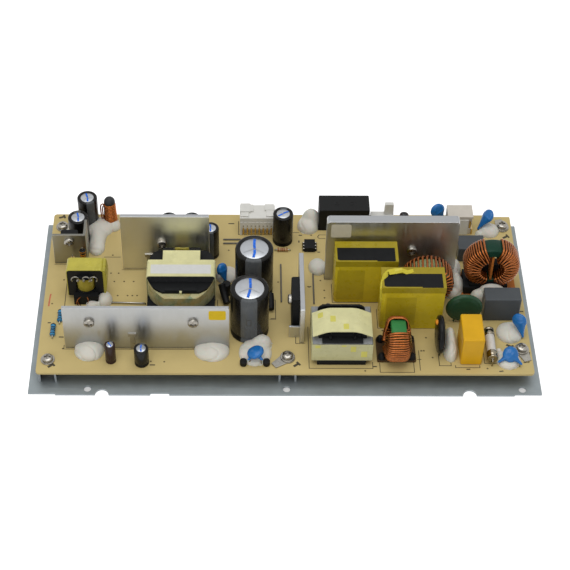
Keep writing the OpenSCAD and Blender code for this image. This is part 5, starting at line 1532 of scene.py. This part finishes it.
class DressSmallParts(bpy.types.Operator):
    """Finishes connectors, relay, chip and jumpers, and forms the fuse and the axial parts"""
    bl_idname = "supply.small_parts"
    bl_label = "Connectors and small parts"

    # Finish and edge width of each part
    PARTS = (("output_connector", "white_nylon", 0.2), ("mains_connector", "beige_nylon", 0.2),
             ("signal_connector", "white_nylon", 0.3), ("connector_pins", "brass"), ("relay", "jet", 0.5),
             ("control_chip", "black", 0.15), ("wire_jumpers", "shaded_tin"))
    # Finishes of the axial parts from left to right: body, bands
    AXIALS = (("resistor_dip", "dark_band"), ("resistor_dip", "dark_band"), ("tan_dip", "black_dip"),
              ("black_dip", "orange_dip"), ("tan_dip", "red_band"))
    # Painted bands: middle and width as shares of half the body's length
    BANDS = ((-0.82, 0.16), (-0.3, 0.16), (0, 0.16), (0.3, 0.16), (0.82, 0.14))
    # How far the CAD's leads reach out of an axial body
    LEAD_OUT = 2 * MM
    # The long bare jumper
    JUMPER = ((-100.5, -11, 0), (-100.4, -11, 0.7), (-99.9, -11, 1.1), (-81.2, -11.6, 1.1),
              (-80.7, -11.6, 0.7), (-80.6, -11.6, 0))
    # Half the fuse's length, and its leads: distance past its end and height
    FUSE = 11
    FUSE_LEAD = ((-0.1, 0), (0.6, 0), (0.9, -0.3), (1.05, -0.9))
    # A moulding pip on the relay as radius and height, and where the two stand
    PIP = ((1.5, 0), (1.4, 0.14), (1, 0.14), (0.9, 0.03), (0, 0.03))
    PIPS_X = (-4.4, 4.6)
    # A leg of the control chip as distance out and height, and the legs' pitch
    LEG = ((-0.3, 2), (0.6, 2), (0.9, 1.7), (1, 0))
    LEG_PITCH = 2.54
    # The output connector's ridges from its left front and its top, a pin's tip, and the pins' pitch
    RIDGES = ((0.2, 6.4, 4.4, 11.4, -1.4, 0.7), (6.2, 8.2, 5.4, 11, -1.4, 0.2),
              (15, 20.6, 6.2, 11.2, -1.4, 0.3))
    TIP = ((0.42, -0.2), (0.62, 0.1), (0.45, 0.5), (0, 0.6))
    PIN_PITCH = 2.4
    # The mains connector's width in mm without the contact beside it, its panels and that contact
    MAINS_W = 15.2
    PANELS = ((7.2, 12.6, -0.35, 0.5, 0.3, 12.2), (1, 6.2, -0.35, 0.5, 0.3, 10.8))
    CONTACT = (13.4, 14.4, 0.8, 1.5, 0, 9.6)

    def execute(self, context):
        for part in self.PARTS:
            dress(*part)
        shell = bmesh.new()
        tube(shell, [spot(*point) for point in self.JUMPER], 0.5 * MM)
        add_piece("long_jumper", shell, ["tinned"])
        self.fuse()
        for number, (low, high) in enumerate(solids("resistors")):
            self.axial(number, low, high, *self.AXIALS[number])
        self.relay_marks()
        self.chip_legs()
        self.output_housing()
        self.mains_housing()
        return {"FINISHED"}

    def fuse(self):
        """A ceramic tube between two plated caps, along Y, with a lead bent down at each end."""
        low, high, middle = extent("fuse_caps")
        cap = (high.x - low.x) / 2 / MM
        middle.z = high.z - cap * MM
        half = self.FUSE
        axis = upright(middle)
        shell = bmesh.new()
        half_tube = ((2.6, half - 1.5), (2.5, half - 1), (0, half - 1))
        lathe(shell, scaled(*((r, -z) for r, z in half_tube[::-1]), *half_tube), axis, 40)
        add_piece("fuse_tube", shell, ["ceramic"], ["fuse_body"])
        profile = scaled((2.55, half - 5), (cap * 0.96, half - 5), (cap, half - 4.7), (cap, half - 1.7),
                         (cap * 0.93, half - 1.45), (cap * 0.93, half - 1.15), (cap, half - 0.9),
                         (cap, half - 0.2), (cap * 0.95, half), (0.9, half), (0.7, half + 0.3))
        shell = bmesh.new()
        for end in (1, -1):
            lathe(shell, profile, axis @ Matrix.Rotation(0 if end > 0 else pi, 4, "X"), 40)
            lead = [(0, -end * (half + out), z) for out, z in self.FUSE_LEAD]
            lead.append((0, lead[-1][1], (BOARD_TOP - middle.z) / MM))
            wire(shell, middle, lead, 0.42, 10)
        add_piece("fuse_end_caps", shell, ["bright_nickel"], ["fuse_caps"])

    def axial(self, number, low, high, body_key, band_key):
        """A dog-bone body with painted bands and round leads, along its longest way."""
        size = high - low
        middle = (low + high) / 2
        way = max(range(3), key=lambda k: size[k])
        radius = min(size) / 2
        half = size[way] / 2 - self.LEAD_OUT
        turn = Matrix.Identity(4)
        if way < 2:
            turn = Matrix.Rotation(pi / 2, 4, "Y" if way == 0 else "X")
        else:
            half = (4.5 if radius > 1.6 * MM else 3.0) * MM
            middle.z = high.z - self.LEAD_OUT - half
        place = Matrix.Translation(middle) @ turn
        ends = [(0.35 * MM, half), (0.7 * radius, half), (0.95 * radius, half - 0.35 * MM),
                (radius, half - 0.8 * MM), (0.98 * radius, 0.74 * half), (0.86 * radius, 0.64 * half)]
        shell = bmesh.new()
        lathe(shell, [(r, -z) for r, z in ends] + ends[::-1], place, 28)
        for share, wide in self.BANDS:
            r = radius * (1.012 if abs(share) > 0.5 else 0.885)
            lathe(shell, [(r, (share - wide / 2) * half), (r, (share + wide / 2) * half)], place, 28, 1)
        for side in (-1, 1):
            first, last = (place @ Vector((0, 0, side * (half + out))) for out in (0, 1.4 * MM))
            down = Vector((last.x, last.y, BOARD_TOP))
            if way == 2 and last.z > middle.z:
                down = at(last, z=0.5)
            tube(shell, [first, last.lerp(first, 0.2), last.lerp(down, 0.15), down], 0.32 * MM, 8, 2)
        keys = [body_key, band_key, "tinned"]
        add_piece(f"axial_part_{number + 1}", shell, keys, ["resistors"])

    def relay_marks(self):
        """Two shallow moulding pips on the relay's roof and a parting line round its foot."""
        low, high, middle = extent("relay")
        roof = Vector((middle.x, middle.y, high.z))
        shell = bmesh.new()
        for x in self.PIPS_X:
            lathe(shell, scaled(*self.PIP), Matrix.Translation(at(roof, x, -0.6)), 28)
        block(shell, at(low, -0.15, -0.15), at(Vector((high.x, high.y, low.z)), 0.15, 0.15, 1.6))
        add_piece("relay_moulding_marks", shell, ["jet"])

    def chip_legs(self):
        """Tinned legs bent out from both sides of the chip."""
        low, high, middle = extent("control_chip")
        shell = bmesh.new()
        for side, edge in ((-1, low.x + 0.8 * MM), (1, high.x - 0.8 * MM)):
            foot = Vector((edge, middle.y, BOARD_TOP))
            for k in (-1, 0, 1):
                wire(shell, foot, [(side * x, self.LEG_PITCH * k, z) for x, z in self.LEG], 0.42)
        add_piece("control_chip_legs", shell, ["tinned"])

    def output_housing(self):
        """Latch ridges and comb of the output connector, and the bright tips of its pins."""
        low, high, middle = extent("output_connector")
        corner = Vector((low.x, low.y, high.z))
        bar_piece("output_connector_ridges", corner, self.RIDGES, 0.35, "white_nylon")
        front = Vector((middle.x, low.y, BOARD_TOP))
        shell = bmesh.new()
        for k in range(8):
            lathe(shell, scaled(*self.TIP), upright(at(front, (k - 3.5) * self.PIN_PITCH, 0.1, 7.6)), 14)
        add_piece("output_pin_tips", shell, ["tinned"])
        comb = [(x - 0.8, x + 0.8, -0.35, 1.2, 5.4, 10.8)
                for x in (k * self.PIN_PITCH for k in range(-4, 5))]
        half = (high.x - low.x) / 2 / MM - 1.0
        comb.append((-half, half, -0.05, 1.0, 6.0, 9.4))
        bar_piece("output_connector_comb", front, comb, 0.2, "white_nylon")

    def mains_housing(self):
        """The mains housing: walls round its socket, a lipped roof, pale front panels and a contact."""
        low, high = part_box("mains_connector")
        wide = self.MAINS_W
        deep = (high.y - low.y) / MM
        tall = (high.z - low.z) / MM
        walls = ((0, wide, 0, deep, tall - 1.4, tall), (0.05, 1.4, 0.3, deep - 0.1, 0.02, tall - 0.6),
                 (0.12, 12.8, 0.2, 3, 0, tall - 0.7),
                 (wide - 1.4, wide - 0.05, 2.3, deep - 0.1, 0.02, tall - 0.6),
                 (0.2, wide - 0.2, 0.6, deep - 0.2, 0.04, 4.5),
                 (12.0, wide - 0.1, 2.2, 3.2, 0.06, tall - 0.8))
        bar_piece("mains_connector_housing", low, walls, 0.3, "beige_nylon",
                  ["mains_connector"])
        bar_piece("mains_connector_panels", low, self.PANELS, 0.25, "white_nylon")
        bar_piece("mains_contact", low, [self.CONTACT], 0.2, "brass")


class LaySilicone(bpy.types.Operator):
    """Forms the silicone beads that hold the tall parts"""
    bl_idname = "supply.silicone"
    bl_label = "Silicone beads"

    # Each lump of sealant: place on the board, half widths, height and turn
    LUMPS = (
        (-102.9, 53.4, 4.7, 5, 4.8, 0), (-108.8, 53.6, 7.4, 6.6, 5.2, 0), (-112.2, 49.4, 6.2, 8.4, 5, 0),
        (-112, 40.6, 5, 7.2, 4.8, 0), (-111.9, 34, 4.7, 6, 4.2, 0), (-128.6, 48.2, 3, 3, 3.6, 0),
        (-105.8, 53.2, 6, 5.4, 5, 0), (-110.4, 51.4, 7.6, 7.6, 5.2, 0), (-112.1, 45, 5.6, 7.8, 5, 0),
        (-112, 37.4, 4.9, 6.6, 4.6, 0), (93.9, -44.4, 3.9, 7.4, 10.2, 0), (-104.6, -8.6, 4.9, 5.8, 5.5, 0),
        (-111.2, -12, 4.2, 3.6, 3.4, 0), (-110.8, -47.4, 8.7, 8.4, 6, 0), (-41.2, -47.6, 10.2, 8.4, 5.4, 0),
        (-33.4, 11.9, 6.4, 7.4, 3.4, -20), (-16.6, -48.6, 9.6, 10.4, 4.8, 0),
        (-13.2, -42.4, 6.4, 5.6, 6.6, 15), (15.8, 53.4, 6.6, 7, 6.6, 0), (17.6, 57.2, 6.2, 6, 10.6, 0),
        (20.6, 18.4, 5.6, 6.6, 5.2, 0), (101.6, 12.4, 3.7, 8, 11.5, -3), (101.6, 3, 4.6, 7.4, 9, 0),
        (99, -3.4, 4.2, 3.8, 5, 0), (121.2, -4.6, 9.6, 4.4, 10.5, 0), (113, -6.4, 4.4, 4.4, 7, 0),
        (125.8, 50, 6.4, 6.4, 4.2, 0), (119.9, 47.2, 2.9, 2.8, 2.4, 0), (93.9, -40.2, 3.7, 6.8, 10.4, 0),
        (93.8, -48.6, 4.1, 7.2, 9.6, 0), (129, -33.6, 7.8, 8, 4.6, 0), (126.2, -54.6, 7, 6.6, 4.4, 0),
        (121, -48.8, 2.4, 2.2, 4.2, 0))

    def execute(self, context):
        shell = bmesh.new()
        for x, y, wide, deep, tall, turn in self.LUMPS:
            blob(shell, spot(x, y), (wide, deep, tall), Matrix.Rotation(radians(turn), 4, "Z"))
        shell = melt(shell, sizes().bead_voxel, 24, BOARD_TOP)
        ripple(shell, 0.3, 7.0)
        crease(shell, 0.3, 13.0)
        for vert in shell.verts:
            vert.co.z = max(vert.co.z, BOARD_TOP)
        add_piece("silicone", shell, ["silicone"], ["silicone_beads"], 75)
        return {"FINISHED"}


def seen_rays(tree):
    """One where a ray comes from the eye, a mirror or a clear body, so that these see the bright room."""
    path = add_node(tree, "ShaderNodeLightPath").node.outputs
    mirror = add_node(tree, "ShaderNodeMath", {0: path["Is Camera Ray"], 1: path["Is Glossy Ray"]},
                      operation="MAXIMUM")
    return add_node(tree, "ShaderNodeMath", {0: mirror, 1: path["Is Transmission Ray"]}, operation="MAXIMUM")


class SetStage(bpy.types.Operator):
    """Sets the pale floor, the soft light and the camera"""
    bl_idname = "supply.stage"
    bl_label = "Stage"

    # Half the floor's width, and the depth of its face below the plate, in metres
    FLOOR = 4.0
    FLOOR_Z = -1e-4
    FLOOR_TONE = "#E2E2E2"
    # Half the width of the shaded cell under each hole, and how far in the covered floor starts
    CELL = 3 * MM
    # How far behind the plate's front edge the band of floor under its holes starts and ends
    HOLE_BAND = (1 * MM, 9 * MM)
    # Cells of the floor, counted from the front left: the row that is covered, and those under the holes
    COVERED_ROW = 2
    HOLE_ROW = 1
    HOLE_COLUMNS = (2, 4, 6)
    # The soft lamps: name, place, aim, size and power
    LAMPS = (("top_softbox", (0, -0.1, 1.1), (0, 0, 0), 0.9, 6.4),
             ("front_softbox", (-0.45, -1, 0.6), (0, 0, 0.02), 0.8, 2.6))
    # The camera, fitted to the photograph: angles in radians, lengths in pixels, and aim and distance in mm
    PITCH = 0.81148
    ROLL = 0.00264
    FOCAL_PX = 1580.96
    FRAME_PX = 570
    AXIS_PX = 244.07
    AIM = (-23.125, 4.221)
    DISTANCE = 932.55
    SENSOR = 36

    def execute(self, context):
        self.floor()
        self.lights()
        self.camera(context.scene)
        context.scene.view_settings.view_transform = "Standard"
        return {"FINISHED"}

    def floor(self):
        """A wide pale floor that reads as white and keeps a soft shadow, with no glow where the plate
        covers it or shades it through a hole."""
        low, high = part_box("base_plate")
        holes = (x + side for x in HOLES_X for side in (-self.CELL, self.CELL))
        xs = (-self.FLOOR, low.x + self.CELL, *holes, high.x - self.CELL, self.FLOOR)
        band = (low.y + reach for reach in self.HOLE_BAND)
        ys = (-self.FLOOR, *band, high.y - self.CELL, self.FLOOR)
        across = len(xs)
        mesh = bpy.data.meshes.new("floor")
        mesh.from_pydata([(x, y, self.FLOOR_Z) for y in ys for x in xs], [],
                         [(k, k + 1, k + 1 + across, k + across) for row in range(len(ys) - 1)
                          for k in range(row * across, (row + 1) * across - 1)])
        floor = bpy.data.objects.new("floor", mesh)
        link(floor)
        mesh.materials.append(self.pale_floor())
        # Under the plate the floor is a darker grey with no glow: painted shade
        mesh.materials.append(surface("covered_floor", 0.9, "#9A9A9A", (0.02, 20)))
        mesh.materials.append(surface("shaded_floor", 0.9, self.FLOOR_TONE, (0.02, 20)))
        for k, face in enumerate(mesh.polygons):
            row, column = divmod(k, across - 1)
            if row == self.COVERED_ROW and 0 < column < across - 2:
                face.material_index = 1
            elif row == self.HOLE_ROW and column in self.HOLE_COLUMNS:
                face.material_index = 2

    def pale_floor(self):
        """Matt pale paint that the eye and mirrors see as white, with the shadow kept."""
        made, tree, shader, _ = start("pale_floor", 0.9)
        shader["Base Color"].default_value = linear(self.FLOOR_TONE)
        plain = tree.nodes["Principled BSDF"].outputs[0]
        glow = add_node(tree, "ShaderNodeEmission", {"Color": (1, 1, 1, 1), "Strength": 0.62})
        both = add_node(tree, "ShaderNodeAddShader", {0: plain, 1: glow})
        add_node(tree, "ShaderNodeMixShader", {0: seen_rays(tree), 1: plain, 2: both},
                 into=tree.nodes["Material Output"].inputs["Surface"])
        return made

    def lights(self):
        """A large soft lamp above, a weaker one in front, and a pale room."""
        for name, place, aim, size, power in self.LAMPS:
            lamp = bpy.data.lights.new(name, "AREA")
            lamp.size = size
            lamp.energy = power
            made = bpy.data.objects.new(name, lamp)
            made.location = place
            made.rotation_euler = (Vector(aim) - Vector(place)).to_track_quat("-Z", "Y").to_euler()
            link(made)
        world = bpy.data.worlds.new("pale_room")
        world.use_nodes = True
        tree = world.node_tree
        room = tree.nodes["Background"].inputs
        room["Color"].default_value = (1, 1, 1, 1)
        add_node(tree, "ShaderNodeMapRange", {"Value": seen_rays(tree), "To Min": 0.4, "To Max": 1.0},
                 into=room["Strength"])
        bpy.context.scene.world = world

    def camera(self, scene):
        """The photograph's view: from the front, high, with the frame shifted a little sideways."""
        ahead = Vector((0, cos(self.PITCH), -sin(self.PITCH)))
        level = Vector((1, 0, 0))
        upward = level.cross(ahead)
        right = cos(self.ROLL) * level + sin(self.ROLL) * upward
        above = cos(self.ROLL) * upward - sin(self.ROLL) * level
        lens = bpy.data.cameras.new("photo_camera")
        lens.sensor_width = self.SENSOR
        lens.lens = self.FOCAL_PX / self.FRAME_PX * self.SENSOR
        lens.shift_x = (self.FRAME_PX / 2 - self.AXIS_PX) / self.FRAME_PX
        lens.clip_start = 0.01
        camera = bpy.data.objects.new("photo_camera", lens)
        place = Matrix((right, above, -ahead)).transposed().to_4x4()
        place.translation = spot(*self.AIM) - ahead * self.DISTANCE * MM
        camera.matrix_world = place
        link(camera)
        scene.camera = camera


STEPS = (DressCarrier, PrintBoard, MakeFasteners, DressHeatsinks, DressTransformers, DressPowerChokes,
         WindRings, MakeElectrolytics, DressFilms, MakeDiscs, DressSmallParts, LaySilicone, SetStage)


class SupplyPanel(bpy.types.Panel):
    """Lists the steps that dress the board"""
    bl_idname = "VIEW3D_PT_power_supply"
    bl_label = "Power supply board"
    bl_space_type = "VIEW_3D"
    bl_region_type = "UI"
    bl_category = "Power Supply"

    def draw(self, context):
        for group in (context.scene.supply_colours, context.scene.supply_sizes):
            for name in group.__annotations__:
                self.layout.prop(group, name)
        for step in STEPS:
            self.layout.operator(step.bl_idname)


CLASSES = (SupplyColours, SupplySizes) + STEPS + (SupplyPanel,)


def register():
    for made in CLASSES:
        bpy.utils.register_class(made)
    bpy.types.Scene.supply_colours = bpy.props.PointerProperty(type=SupplyColours)
    bpy.types.Scene.supply_sizes = bpy.props.PointerProperty(type=SupplySizes)


def unregister():
    del bpy.types.Scene.supply_sizes
    del bpy.types.Scene.supply_colours
    for made in reversed(CLASSES):
        bpy.utils.unregister_class(made)


def main():
    register()
    for step in STEPS:
        family, action = step.bl_idname.split(".")
        getattr(getattr(bpy.ops, family), action)()


if __name__ == "__main__":
    main()
